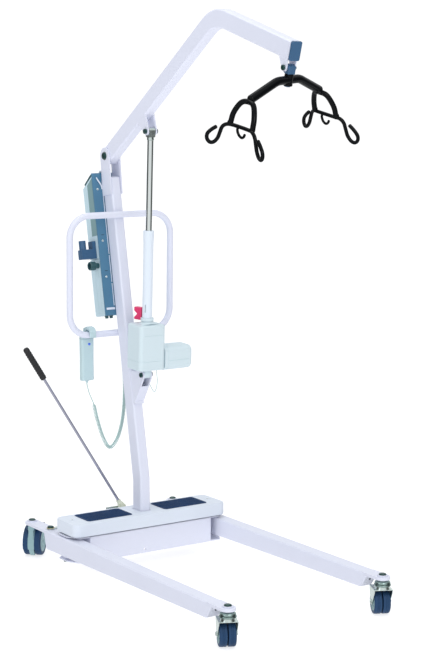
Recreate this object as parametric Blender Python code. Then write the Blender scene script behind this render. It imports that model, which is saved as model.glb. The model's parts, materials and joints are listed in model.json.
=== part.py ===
"""Mobile patient lift hoist: a base with spreading legs, a leaning mast, a boom raised by an electric
actuator, a swivelling spreader bar, and a handset on a curly cord. Metres, +Z up, +X forward.

Every size is given from the rear caster stems (x = 0) and the object's centre plane (y = 0). The empty
"hoist" moves the whole model so that its origin is the middle of its footprint on the floor.
"""

import math

import bmesh
import bpy
from mathutils import Matrix, Vector

# Footprint centre, seen from the rear stems.
CENTRE_X = 0.5922
CENTRE_Y = 0.0201

# Clearance between pieces that touch, and between a pin and its hole.
GAP = 0.0003
FIT = 0.0003

# Legs
LEG_Y = 0.298
LEG_HALF_WIDTH = 0.025
LEG_TOP = 0.130
LEG_WALL = 0.003
REAR_STEM_X = 0.0
FRONT_STEM_X = 1.241
TONGUE_THICKNESS = 0.010
STEM_RADIUS = 0.006
PIVOT_X = 0.250
PIVOT_RADIUS = 0.006
TIE_BOLT_X = 0.137
TIE_BOLT_RADIUS = 0.005

# Base
BEAM_REAR, BEAM_FRONT = 0.205, 0.333
BEAM_HALF_LENGTH = 0.250
BEAM_BOTTOM, BEAM_TOP = 0.048, 0.138
BEAM_WALL = 0.004
COVER_REAR, COVER_FRONT = 0.190, 0.340
COVER_HALF_LENGTH = 0.312
COVER_TOP = 0.187
COVER_WALL = 0.003

# Spreading lever
LEVER_X, LEVER_Z = 0.164, 0.145
LEVER_LENGTH = 0.717
LEVER_SIDE_LEAN = math.radians(28.7)
LEVER_BACK_LEAN = math.radians(9.6)
ROCKER_RADIUS = 0.0225
ROCKER_PIN_RADIUS = 0.003

# Mast
MAST_X = 0.2625
MAST_HALF_DEPTH = 0.030
MAST_HALF_WIDTH = 0.0195
MAST_WALL = 0.003
MAST_KINK = 0.2972
MAST_LEAN = math.radians(10.41)
MAST_LENGTH = 1.072

# Boom
BOOM_PIVOT = Vector((0.064, 0.0, 1.428))
BOOM_RISE = math.radians(34.6)
BOOM_FALL = math.radians(16.3)
BOOM_REACH = 0.8262
BOOM_TIP = 0.4360
BOOM_BEND = 0.130
BOOM_HALF_DEPTH = 0.030
BOOM_HALF_WIDTH = 0.0187
BOOM_WALL = 0.003
BOOM_PIN_RADIUS = 0.008

# Actuator
ACTUATOR_FOOT = Vector((0.298, 0.0, 0.675))
ACTUATOR_LEAN = math.radians(2.57)
ACTUATOR_LENGTH = 0.8459
ACTUATOR_PIN_RADIUS = 0.005
ROD_RADIUS = 0.011
TUBE_RADIUS = 0.0175

# Hanger and spreader bar
HANGER_PIVOT = Vector((1.126, 0.0, 1.7275))
HANGER_TILT = math.radians(15.5)
HANGER_PIN_RADIUS = 0.005
SWIVEL_OFFSET = 0.008
SPREADER_YAW = math.radians(17.6)
SPREADER_HALF_LENGTH = 0.172
SPREADER_END_DROP = 0.045
FRAME_HALF_WIDTH = 0.042
FRAME_DROP = 0.124
FRAME_FLARE = 0.042
FRAME_LEAN = 0.012
HOOK_SPLAY = 0.40

# Push handle
HANDLE_RADIUS = 0.0115
HANDLE_WALL = 0.002
HANDLE_HALF_WIDTH = 0.206
HANDLE_CORNER = 0.075
HANDLE_BOTTOM = Vector((0.1266, 0.0, 0.8046))
HANDLE_TOP = Vector((0.1345, 0.0, 1.2245))

# Casters
REAR_TRAIL_ANGLE = math.radians(137)
FRONT_TRAIL_ANGLE = math.radians(154)
REAR_TRAIL, REAR_WHEEL_RADIUS = 0.030, 0.050
FRONT_TRAIL, FRONT_WHEEL_RADIUS = 0.025, 0.040
AXLE_RADIUS = 0.004


# ---------------------------------------------------------------- helpers

for old in list(bpy.data.objects):
    bpy.data.objects.remove(old)


def material(name, colour, roughness, metallic=0.0):
    made = bpy.data.materials.new(name)
    made.use_nodes = True
    shader = made.node_tree.nodes["Principled BSDF"]
    shader.inputs["Base Color"].default_value = (*colour, 1.0)
    shader.inputs["Roughness"].default_value = roughness
    shader.inputs["Metallic"].default_value = metallic
    return made


WHITE_PAINT = material("white_paint", (0.82, 0.84, 0.93), 0.35)
WHITE_PLASTIC = material("white_plastic", (0.78, 0.84, 0.90), 0.45)
PALE_PLASTIC = material("pale_plastic", (0.66, 0.76, 0.78), 0.45)
NAVY_PLASTIC = material("navy_plastic", (0.07, 0.13, 0.28), 0.50)
BLUE_PLASTIC = material("blue_plastic", (0.10, 0.22, 0.36), 0.45)
TEAL_PLASTIC = material("teal_plastic", (0.10, 0.20, 0.22), 0.45)
RED_PLASTIC = material("red_plastic", (0.75, 0.10, 0.18), 0.40)
BLACK_PAINT = material("black_paint", (0.01, 0.01, 0.012), 0.20)
BLACK_RUBBER = material("black_rubber", (0.02, 0.02, 0.022), 0.60)
CREAM_RUBBER = material("cream_rubber", (0.75, 0.74, 0.66), 0.60)
CHROME = material("chrome", (0.80, 0.82, 0.84), 0.10, 1.0)
STEEL = material("steel", (0.45, 0.46, 0.47), 0.35, 1.0)
ZINC = material("zinc", (0.60, 0.62, 0.60), 0.30, 1.0)


def frame(name, location, rotation=None, parent=None):
    """An empty that carries pieces: its axes are the ones that their sizes are given along."""
    made = bpy.data.objects.new(name, None)
    bpy.context.scene.collection.objects.link(made)
    made.parent = parent
    made.location = location
    if rotation is not None:
        made.rotation_euler = rotation.to_euler()
    return made


def turn(angle, axis):
    return Matrix.Rotation(angle, 3, axis)


def finished(shape):
    bmesh.ops.recalc_face_normals(shape, faces=shape.faces)
    mesh = bpy.data.meshes.new("shape")
    shape.to_mesh(mesh)
    shape.free()
    return mesh


def block(low, high):
    shape = bmesh.new()
    bmesh.ops.create_cube(shape, size=1.0)
    for vertex in shape.verts:
        for axis in range(3):
            middle = (low[axis] + high[axis]) / 2
            vertex.co[axis] = middle + vertex.co[axis] * (high[axis] - low[axis])
    return finished(shape)


def prism(outline, low, high, axis="Y"):
    """A flat outline pushed from low to high along an axis. For Y the outline is (x, z)."""
    places = {
        "X": lambda a, b: (low, a, b),
        "Y": lambda a, b: (a, low, b),
        "Z": lambda a, b: (a, b, low),
    }
    steps = {"X": (high - low, 0, 0), "Y": (0, high - low, 0), "Z": (0, 0, high - low)}
    shape = bmesh.new()
    face = shape.faces.new([shape.verts.new(places[axis](a, b)) for a, b in outline])
    pushed = bmesh.ops.extrude_face_region(shape, geom=[face])["geom"]
    moved = [item for item in pushed if isinstance(item, bmesh.types.BMVert)]
    bmesh.ops.translate(shape, verts=moved, vec=steps[axis])
    return finished(shape)


def arc(centre, radius, first, last, steps):
    """Points round a centre, from one angle to another, in degrees."""
    angles = [math.radians(first + (last - first) * i / steps) for i in range(steps + 1)]
    return [(centre[0] + radius * math.cos(a), centre[1] + radius * math.sin(a)) for a in angles]


def rounded(low, high, radius, steps=4):
    """The outline of a rectangle with round corners."""
    left, right = low[0] + radius, high[0] - radius
    bottom, top = low[1] + radius, high[1] - radius
    return (
        arc((right, bottom), radius, -90, 0, steps)
        + arc((right, top), radius, 0, 90, steps)
        + arc((left, top), radius, 90, 180, steps)
        + arc((left, bottom), radius, 180, 270, steps)
    )


def rod(start, end, radius, segments=16):
    start, end = Vector(start), Vector(end)
    shape = bmesh.new()
    bmesh.ops.create_cone(
        shape,
        cap_ends=True,
        segments=segments,
        radius1=radius,
        radius2=radius,
        depth=(end - start).length,
    )
    aim = (end - start).to_track_quat("Z", "Y").to_matrix().to_4x4()
    bmesh.ops.transform(shape, matrix=Matrix.Translation((start + end) / 2) @ aim, verts=shape.verts)
    return finished(shape)


def turned(profile, base, direction, segments=16):
    """A profile of (radius, height) points spun round the line that leaves base in a direction."""
    shape = bmesh.new()
    points = [shape.verts.new((radius, 0, height)) for radius, height in profile]
    for first, second in zip(points, points[1:] + points[:1]):
        if first.co.x > 1e-6 or second.co.x > 1e-6:
            shape.edges.new((first, second))
    bmesh.ops.spin(
        shape,
        geom=shape.verts[:] + shape.edges[:],
        cent=(0, 0, 0),
        axis=(0, 0, 1),
        angle=math.tau,
        steps=segments,
        use_merge=True,
    )
    bmesh.ops.remove_doubles(shape, verts=shape.verts, dist=1e-6)
    aim = Vector(direction).to_track_quat("Z", "Y").to_matrix().to_4x4()
    bmesh.ops.transform(shape, matrix=Matrix.Translation(Vector(base)) @ aim, verts=shape.verts)
    return finished(shape)


def tube_curve(points, radius, closed=False, resolution=3):
    curve = bpy.data.curves.new("route", "CURVE")
    curve.dimensions = "3D"
    curve.bevel_depth = radius
    curve.bevel_resolution = resolution
    curve.use_fill_caps = not closed
    spline = curve.splines.new("POLY")
    spline.points.add(len(points) - 1)
    for place, point in zip(spline.points, points):
        place.co = (*point, 1.0)
    spline.use_cyclic_u = closed
    return curve


def bent_rod(points, radius, closed=False, resolution=3):
    """A round bar along a route, as a mesh."""
    guide = bpy.data.objects.new("guide", tube_curve(points, radius, closed, resolution))
    bpy.context.scene.collection.objects.link(guide)
    mesh = bpy.data.meshes.new_from_object(guide)
    bpy.data.objects.remove(guide)
    shape = bmesh.new()
    shape.from_mesh(mesh)
    bmesh.ops.remove_doubles(shape, verts=shape.verts, dist=1e-6)
    return finished(shape)


def rounded_route(corners, radius, steps=5, closed=False):
    """A route through corners, each rounded off with an arc."""
    route = []
    count = len(corners)
    for index, corner in enumerate(corners):
        if not closed and index in (0, count - 1):
            route.append(corner)
            continue
        back = (corners[index - 1] - corner).normalized()
        ahead = (corners[(index + 1) % count] - corner).normalized()
        half = back.angle(ahead) / 2
        cut_length = radius / math.tan(half)
        middle = corner + (back + ahead).normalized() * radius / math.sin(half)
        start = (corner + back * cut_length - middle).normalized()
        end = (corner + ahead * cut_length - middle).normalized()
        route += [middle + start.slerp(end, i / steps) * radius for i in range(steps + 1)]
    return route


def curved_route(knots, per_span):
    """A smooth route through its knots (a Catmull-Rom spline)."""
    ends = [knots[0] * 2 - knots[1], *knots, knots[-1] * 2 - knots[-2]]
    route = []
    for a, b, c, d in zip(ends, ends[1:], ends[2:], ends[3:]):
        for i in range(per_span):
            t = i / per_span
            route.append(
                (b * 2 + (c - a) * t + (a * 2 - b * 5 + c * 4 - d) * t**2 + (b * 3 - a - c * 3 + d) * t**3)
                / 2
            )
    return [*route, knots[-1]]


def piece(name, data, look, parent, origin=(0, 0, 0)):
    """A named piece of the object. Its origin is moved to a point, such as one on its joint's axis."""
    data.materials.append(look)
    if isinstance(data, bpy.types.Mesh):
        data.transform(Matrix.Translation(-Vector(origin)))
        data.shade_smooth()
        data.set_sharp_from_angle(angle=math.radians(35))
    made = bpy.data.objects.new(name, data)
    bpy.context.scene.collection.objects.link(made)
    made.parent = parent
    made.location = origin
    return made


def boolean(target, mesh, operation):
    """Joins a shape to a piece, or cuts it out of the piece."""
    tool = bpy.data.objects.new(f"{target.name}_tool", mesh)
    bpy.context.scene.collection.objects.link(tool)
    tool.parent = target.parent
    tool.hide_render = True
    tool.display_type = "WIRE"
    change = target.modifiers.new(operation.lower(), "BOOLEAN")
    change.operation = operation
    change.solver = "EXACT"
    change.object = tool
    return tool


def join(target, *meshes):
    for mesh in meshes:
        boolean(target, mesh, "UNION")


def cut(target, *meshes):
    for mesh in meshes:
        boolean(target, mesh, "DIFFERENCE")


def soften(target, width, segments=1, angle=30):
    """Rounds a piece's sharp edges before anything is joined to it."""
    change = target.modifiers.new("bevel", "BEVEL")
    change.width = width
    change.segments = segments
    change.limit_method = "ANGLE"
    change.angle_limit = math.radians(angle)


hoist = frame("hoist", (-CENTRE_X, -CENTRE_Y, 0))


# ---------------------------------------------------------------- legs and casters

LEG_SIDE = [(0.147, 0.063), (1.158, 0.077), (1.197, LEG_TOP), (0.128, LEG_TOP)]
LEG_HOLLOW = [(0.153, 0.0665), (1.155, 0.080), (1.190, 0.127), (0.134, 0.127)]
BUSH_RADIUS = 0.011
BUSH_BOTTOM, BUSH_TOP = 0.0525, 0.1337
CAP_SEAT = 0.134
CAP_SEAT_RADIUS = 0.017
DRAIN_Z, DRAIN_RADIUS = 0.105, 0.005


def make_leg(name, side):
    y = side * LEG_Y
    inner = LEG_HALF_WIDTH - LEG_WALL
    pivot = (PIVOT_X, y, 0)
    leg = piece(
        name,
        prism(LEG_SIDE, y - LEG_HALF_WIDTH, y + LEG_HALF_WIDTH),
        WHITE_PAINT,
        hoist,
        pivot,
    )
    soften(leg, 0.004)
    cut(
        leg,
        prism(LEG_HOLLOW, y - inner, y + inner),
        rod((1.15, y, DRAIN_Z), (1.21, y, DRAIN_Z), DRAIN_RADIUS, 12),
    )
    column = rod((PIVOT_X, y, BUSH_BOTTOM), (PIVOT_X, y, BUSH_TOP), BUSH_RADIUS, 16)
    tie_bolt = turned(
        [
            (0, 0.1215),
            (TIE_BOLT_RADIUS, 0.1215),
            (TIE_BOLT_RADIUS, LEG_TOP + 0.0043),
            (0.011, LEG_TOP + 0.0043),
            (0.011, 0.136),
            (0.008, 0.136),
            (0.008, 0.143),
            (0.006, 0.145),
            (0, 0.145),
        ],
        (TIE_BOLT_X, y, 0),
        (0, 0, 1),
        16,
    )
    rear = arc((REAR_STEM_X, y), LEG_HALF_WIDTH, 270, 90, 8)
    front = arc((FRONT_STEM_X, y), LEG_HALF_WIDTH, -90, 90, 8)
    width = LEG_HALF_WIDTH - 0.0002
    rear_tongue = [(0.165, y + width), *reversed(rear), (0.165, y - width)]
    front_tongue = [(1.165, y - width), *front, (1.165, y + width)]
    join(
        leg,
        column,
        prism(rear_tongue, LEG_TOP - TONGUE_THICKNESS, LEG_TOP - 0.0002, "Z"),
        prism(front_tongue, LEG_TOP - TONGUE_THICKNESS, LEG_TOP - 0.0002, "Z"),
        rod((REAR_STEM_X, y, 0.125), (REAR_STEM_X, y, CAP_SEAT), CAP_SEAT_RADIUS, 16),
        rod((FRONT_STEM_X, y, 0.125), (FRONT_STEM_X, y, CAP_SEAT), CAP_SEAT_RADIUS, 16),
    )
    cut(
        leg,
        rod((PIVOT_X, y, 0.04), (PIVOT_X, y, 0.15), PIVOT_RADIUS + FIT, 16),
        rod((REAR_STEM_X, y, 0.11), (REAR_STEM_X, y, 0.15), STEM_RADIUS + FIT, 16),
        rod((FRONT_STEM_X, y, 0.11), (FRONT_STEM_X, y, 0.15), STEM_RADIUS + FIT, 16),
    )


for leg_name, leg_side in (("leg_right", -1), ("leg_left", 1)):
    make_leg(leg_name, leg_side)

TONGUE_BOTTOM = LEG_TOP - TONGUE_THICKNESS
STEM_TOP = 0.139


def stem_and_cap(low):
    """The caster's stem up through the tongue, with the cap that holds it there."""
    return turned(
        [
            (0, low),
            (STEM_RADIUS, low),
            (STEM_RADIUS, CAP_SEAT + GAP),
            (0.012, CAP_SEAT + GAP),
            (0.012, 0.137),
            (0.009, STEM_TOP),
            (0, STEM_TOP),
        ],
        (0, 0, 0),
        (0, 0, 1),
    )


def wheel_profile(radius, inner, outer):
    """Half of a twin wheel, with a rounded outer edge."""
    bore = AXLE_RADIUS + FIT
    return [
        (bore, inner),
        (bore, outer - 0.0005),
        (radius * 0.76, outer),
        (radius - 0.005, outer),
        (radius, outer - 0.006),
        (radius, inner),
    ]


def make_wheels(name, swivel, trail, radius, inner, outer):
    axle = (trail, 0, radius)
    for label, way in (("a", -1), ("b", 1)):
        piece(
            f"{name}_wheel_{label}",
            turned(wheel_profile(radius, inner, outer), axle, (0, way, 0), 24),
            NAVY_PLASTIC,
            swivel,
            axle,
        )


def make_front_caster(name, y):
    swivel = frame(f"{name}_swivel", (FRONT_STEM_X, y, 0), turn(FRONT_TRAIL_ANGLE, "Z"), hoist)
    cheek = 0.0278
    plate = 0.0025
    lobe = arc((FRONT_TRAIL, FRONT_WHEEL_RADIUS), 0.010, 200, 340, 6)
    cheek_side = [(-0.020, 0.0885), *lobe, (0.052, 0.0885)]
    fork = piece(
        f"{name}_fork",
        prism(cheek_side, -cheek - plate, -cheek),
        ZINC,
        swivel,
    )
    join(
        fork,
        prism(cheek_side, cheek, cheek + plate),
        block((-0.020, -cheek - 0.001, 0.0860), (0.052, cheek + 0.001, 0.0885)),
        prism([(-0.0195, 0.088), (-0.030, 0.074), (-0.028, 0.072), (-0.0165, 0.0865)], -0.024, 0.024),
        turned(
            [
                (0, 0.0875),
                (0.024, 0.0875),
                (0.024, 0.098),
                (0.020, 0.108),
                (0.016, TONGUE_BOTTOM - GAP),
                (0, TONGUE_BOTTOM - GAP),
            ],
            (0, 0, 0),
            (0, 0, 1),
        ),
        stem_and_cap(0.115),
        rod((FRONT_TRAIL, -0.034, FRONT_WHEEL_RADIUS), (FRONT_TRAIL, 0.034, FRONT_WHEEL_RADIUS), AXLE_RADIUS),
    )
    make_wheels(name, swivel, FRONT_TRAIL, FRONT_WHEEL_RADIUS, 0.0015, 0.0265)


def make_rear_caster(name, y):
    swivel = frame(f"{name}_swivel", (REAR_STEM_X, y, 0), turn(REAR_TRAIL_ANGLE, "Z"), hoist)
    middle = (REAR_TRAIL, REAR_WHEEL_RADIUS)
    web = 0.0085
    pedal_pin = (0.066, 0.098)
    hood_outer = arc(middle, 0.0565, 25, 200, 9)
    hood_inner = arc(middle, 0.0535, 200, 25, 9)
    body_side = [
        (-0.022, TONGUE_BOTTOM - 0.004),
        *arc(middle, 0.054, 195, 240, 4),
        *arc(middle, 0.012, 240, 350, 6),
        *arc(pedal_pin, 0.006, -40, 110, 6),
        (0.022, TONGUE_BOTTOM - 0.004),
    ]
    hood = piece(f"{name}_hood", prism(body_side, -web, web), PALE_PLASTIC, swivel)
    join(
        hood,
        prism(hood_outer + hood_inner, -0.030, 0.030),
        turned(
            [
                (0, 0.100),
                (0.021, 0.100),
                (0.022, 0.112),
                (0.018, TONGUE_BOTTOM - GAP),
                (0, TONGUE_BOTTOM - GAP),
            ],
            (0, 0, 0),
            (0, 0, 1),
        ),
        stem_and_cap(0.112),
        rod((REAR_TRAIL, -0.030, REAR_WHEEL_RADIUS), (REAR_TRAIL, 0.030, REAR_WHEEL_RADIUS), AXLE_RADIUS),
    )
    slot = [(0.0500, 0.085), (0.090, 0.085), (0.090, 0.110), (0.0500, 0.110)]
    for way in (-1, 1):
        cut(hood, prism(slot, *sorted((way * (web + 0.0001), way * 0.016))))
    cut(hood, rod((pedal_pin[0], -0.02, pedal_pin[1]), (pedal_pin[0], 0.02, pedal_pin[1]), 0.0028, 12))
    make_wheels(name, swivel, REAR_TRAIL, REAR_WHEEL_RADIUS, web + 0.0008, 0.0325)
    pin = (pedal_pin[0], 0, pedal_pin[1])
    arm = [*arc(pedal_pin, 0.0055, 60, 270, 8), (0.104, 0.0935), (0.112, 0.0945), (0.112, 0.0985), (0.080, 0.1015)]
    pedal = piece(f"{name}_pedal", prism(arm, web + 0.0005, 0.0125), TEAL_PLASTIC, swivel, pin)
    join(
        pedal,
        prism(arm, -0.0125, -web - 0.0005),
        prism([(0.082, 0.0945), (0.112, 0.0945), (0.112, 0.0985), (0.082, 0.1005)], -0.018, 0.018),
        rod((pin[0], -0.0125, pin[2]), (pin[0], 0.0125, pin[2]), 0.0025, 12),
    )


for caster_name, caster_y in (("right", -LEG_Y), ("left", LEG_Y)):
    make_front_caster(f"front_{caster_name}", caster_y)
    make_rear_caster(f"rear_{caster_name}", caster_y)


# ---------------------------------------------------------------- base

beam = piece(
    "base_beam",
    block((BEAM_REAR, -BEAM_HALF_LENGTH, BEAM_BOTTOM), (BEAM_FRONT, BEAM_HALF_LENGTH, BEAM_TOP)),
    WHITE_PAINT,
    hoist,
)
soften(beam, 0.0025)
inside = BEAM_HALF_LENGTH - BEAM_WALL
cut(
    beam,
    block(
        (BEAM_REAR + BEAM_WALL, -inside, BEAM_BOTTOM - 0.01),
        (BEAM_FRONT - BEAM_WALL, inside, BEAM_TOP - BEAM_WALL),
    ),
    rod((BEAM_FRONT - 0.01, -0.030, 0.062), (BEAM_FRONT + 0.01, -0.030, 0.062), 0.004, 12),
)
LUG_TIP = 0.316
for way in (-1, 1):
    for low, high in ((BEAM_TOP - 0.0036, BEAM_TOP - 0.0006), (BEAM_BOTTOM + 0.0006, BEAM_BOTTOM + 0.0042)):
        plate = [
            (BEAM_REAR + 0.0022, way * (BEAM_HALF_LENGTH - 0.02)),
            (BEAM_REAR + 0.0022, way * 0.290),
            (BEAM_REAR + 0.026, way * LUG_TIP),
            (BEAM_FRONT - 0.050, way * LUG_TIP),
            (BEAM_FRONT - 0.0022, way * 0.290),
            (BEAM_FRONT - 0.0022, way * (BEAM_HALF_LENGTH - 0.02)),
        ]
        join(beam, prism(plate, low, high, "Z"))
    y = way * LEG_Y
    cut(beam, rod((PIVOT_X, y, 0.03), (PIVOT_X, y, 0.15), PIVOT_RADIUS + GAP, 16))
join(beam, rod((0.186, 0, LEVER_Z), (0.2215, 0, LEVER_Z), 0.014, 16))
cut(beam, rod((0.180, 0, LEVER_Z), (0.2200, 0, LEVER_Z), 0.0083, 16))

for name, way in (("leg_pivot_right", -1), ("leg_pivot_left", 1)):
    y = way * LEG_Y
    piece(
        name,
        turned(
            [
                (0, 0.0400),
                (0.010, 0.0400),
                (0.010, BEAM_BOTTOM - 0.0001),
                (PIVOT_RADIUS, BEAM_BOTTOM - 0.0001),
                (PIVOT_RADIUS, BEAM_TOP),
                (0.010, BEAM_TOP),
                (0.010, 0.145),
                (0, 0.145),
            ],
            (PIVOT_X, y, 0),
            (0, 0, 1),
        ),
        STEEL,
        hoist,
        (PIVOT_X, y, 0),
    )

cover = piece(
    "base_cover",
    prism(
        rounded((COVER_REAR, -COVER_HALF_LENGTH), (COVER_FRONT, COVER_HALF_LENGTH), 0.028, 5),
        0.1400,
        COVER_TOP,
        "Z",
    ),
    WHITE_PLASTIC,
    hoist,
)
soften(cover, 0.006, 2, 50)
cut(
    cover,
    prism(
        rounded(
            (COVER_REAR + COVER_WALL, -COVER_HALF_LENGTH + COVER_WALL),
            (COVER_FRONT - COVER_WALL, COVER_HALF_LENGTH - COVER_WALL),
            0.025,
            5,
        ),
        0.130,
        COVER_TOP - COVER_WALL,
        "Z",
    ),
    block((MAST_X - 0.032, -0.0215, 0.15), (MAST_X + 0.032, 0.0215, 0.20)),
    block((0.185, -0.020, 0.130), (0.200, 0.020, 0.166)),
)
for name, way in (("foot_pad_right", -1), ("foot_pad_left", 1)):
    near, far = sorted((way * 0.066, way * 0.246))
    piece(
        name,
        prism(rounded((0.2106, near), (0.315, far), 0.010, 4), COVER_TOP + GAP, COVER_TOP + 0.002, "Z"),
        NAVY_PLASTIC,
        hoist,
    )


# ---------------------------------------------------------------- spreading lever and tie rods

lever = frame("lever_axis", (LEVER_X, 0, LEVER_Z), turn(LEVER_SIDE_LEAN, "X"), hoist)
stick = turn(-LEVER_BACK_LEAN, "Y") @ Vector((0, 0, 1))

hub = piece("lever_hub", rod((-0.014, 0, 0), (0.014, 0, 0), 0.013, 16), STEEL, lever)
rocker = [
    (0.008, -ROCKER_RADIUS),
    *arc((0, ROCKER_RADIUS), 0.008, 0, 180, 6),
    *arc((0, -ROCKER_RADIUS), 0.008, 180, 360, 6)[:-1],
]
rocker_plate = prism(rocker, -0.022, -0.0138, "X")
join(
    hub,
    rocker_plate,
    rod((0.013, 0, 0), (0.055, 0, 0), 0.008, 16),
    rod((-0.038, 0, ROCKER_RADIUS), (-0.020, 0, ROCKER_RADIUS), ROCKER_PIN_RADIUS, 16),
    rod((-0.038, 0, -ROCKER_RADIUS), (-0.020, 0, -ROCKER_RADIUS), ROCKER_PIN_RADIUS, 16),
    rod(stick * 0.002, stick * 0.046, 0.009, 20),
)
cut(hub, rod(stick * 0.012, stick * 0.050, 0.0053, 16))
piece("lever_rod", rod(stick * 0.0125, stick * (LEVER_LENGTH - 0.012), 0.005, 20), CHROME, lever)
piece(
    "lever_grip",
    turned(
        [
            (0.0053, LEVER_LENGTH - 0.130),
            (0.010, LEVER_LENGTH - 0.130),
            (0.0115, LEVER_LENGTH - 0.120),
            (0.0115, LEVER_LENGTH - 0.012),
            (0.009, LEVER_LENGTH),
            (0, LEVER_LENGTH),
            (0, LEVER_LENGTH - 0.0117),
            (0.0053, LEVER_LENGTH - 0.0117),
        ],
        (0, 0, 0),
        stick,
    ),
    BLACK_RUBBER,
    lever,
)
piece(
    "lever_boot",
    turned(
        [
            (0.0093, 0.0338),
            (0.015, 0.0338),
            (0.014, 0.0430),
            (0.0085, 0.0600),
            (0.0085, 0.0670),
            (0.0053, 0.0670),
            (0.0053, 0.0490),
            (0.0093, 0.0470),
        ],
        (0, 0, 0),
        stick,
    ),
    CREAM_RUBBER,
    lever,
)

PIN_SIDE = ROCKER_RADIUS * math.sin(LEVER_SIDE_LEAN)
PIN_RISE = ROCKER_RADIUS * math.cos(LEVER_SIDE_LEAN)


def make_tie_rod(name, way, slot_z, lift):
    """A flat link from the bolt in a leg to a slot round one of the rocker's pins."""
    y = way * LEG_Y
    slot_y = way * PIN_SIDE
    bar_low, bar_high = LEG_TOP + 0.0006, LEG_TOP + 0.0040
    half = 0.010
    head_low, head_high = slot_z - half - 0.001, slot_z + half + 0.001
    eye = arc((TIE_BOLT_X, y), 0.0095, 0, 180 if way > 0 else -180, 10)
    outline = [(0.1405, way * 0.050), *eye, (0.1300, way * 0.050)]
    link = piece(name, prism(outline, bar_low, bar_high, "Z"), ZINC, hoist, (TIE_BOLT_X, y, 0))
    near, far = sorted((way * (0.068 if lift else 0.060), way * 0.0495))
    riser = (min(bar_low, head_low), max(bar_high, head_high))
    tip = way * (PIN_SIDE - 0.0088)
    end_near, end_far = sorted((tip, way * 0.0500))
    join(
        link,
        block((0.1301, near, riser[0]), (0.1371, far, riser[1])),
        block((0.1300, end_near, head_low), (0.1370, end_far, head_high)),
    )
    pin = ROCKER_PIN_RADIUS + 0.0008
    rise = 0.0035
    slot = [
        *arc((slot_y, slot_z + rise), pin, 0, 180, 6),
        *arc((slot_y, slot_z - rise), pin, 180, 360, 6),
    ]
    cut(
        link,
        prism(slot, 0.12, 0.145, "X"),
        rod((TIE_BOLT_X, y, 0.125), (TIE_BOLT_X, y, 0.14), TIE_BOLT_RADIUS + FIT, 16),
    )


make_tie_rod("tie_rod_right", -1, LEVER_Z + PIN_RISE, True)
make_tie_rod("tie_rod_left", 1, LEVER_Z - PIN_RISE, False)


# ---------------------------------------------------------------- mast and push handle

mast = frame("mast_frame", (MAST_X, 0, MAST_KINK), turn(-MAST_LEAN, "Y"), hoist)
foot = BEAM_TOP + GAP - MAST_KINK
kink = Vector((MAST_X, 0, MAST_KINK))


def upright(x, z):
    """A point of the mast's upright foot, seen from the leaning frame."""
    point = turn(MAST_LEAN, "Y") @ Vector((x, 0, z))
    return point.x, point.z


def mast_side(half, top, bottom):
    step = half * math.tan(MAST_LEAN / 2)
    return [
        upright(-half, bottom),
        upright(half, bottom),
        (half, step),
        (half, top),
        (-half, top),
        (-half, -step),
    ]


post = piece(
    "mast",
    prism(mast_side(MAST_HALF_DEPTH, MAST_LENGTH, foot), -MAST_HALF_WIDTH, MAST_HALF_WIDTH),
    WHITE_PAINT,
    mast,
)
soften(post, 0.005, 1, 40)
inner_side = mast_side(MAST_HALF_DEPTH - MAST_WALL, MAST_LENGTH - 0.004, foot - 0.02)
pivot_seen = turn(MAST_LEAN, "Y") @ (BOOM_PIVOT - kink)
ear_centre = (pivot_seen.x, pivot_seen.z)
ear = [
    (-MAST_HALF_DEPTH, MAST_LENGTH - 0.062),
    (MAST_HALF_DEPTH - 0.001, MAST_LENGTH - 0.062),
    *arc(ear_centre, 0.030, -5, 180, 12),
]
EAR_INNER, EAR_OUTER = MAST_HALF_WIDTH - 0.0004, 0.0240
join(
    post,
    prism(ear, EAR_INNER, EAR_OUTER),
    prism(ear, -EAR_OUTER, -EAR_INNER),
)
foot_plate = prism(rounded((-0.040, -0.030), (0.040, 0.030), 0.006), foot, foot + 0.0055, "Z")
foot_plate.transform(turn(MAST_LEAN, "Y").to_4x4())
join(post, foot_plate)
cut(post, prism(inner_side, -MAST_HALF_WIDTH + MAST_WALL, MAST_HALF_WIDTH - MAST_WALL))
cut(post, rod((ear_centre[0], -0.04, ear_centre[1]), (ear_centre[0], 0.04, ear_centre[1]), 0.0083, 16))
bracket_side = [
    (0.2300, 0.682),
    (0.2300, 0.565),
    (0.2560, 0.578),
    (0.3080, 0.662),
    *arc((ACTUATOR_FOOT.x, ACTUATOR_FOOT.z), 0.0135, -30, 110, 6),
]
bracket = piece("actuator_bracket", prism(bracket_side, -0.0180, -0.0135), WHITE_PAINT, hoist)


def mast_front(z):
    return MAST_X - (z - MAST_KINK) * math.tan(MAST_LEAN) + MAST_HALF_DEPTH / math.cos(MAST_LEAN) + GAP


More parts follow.
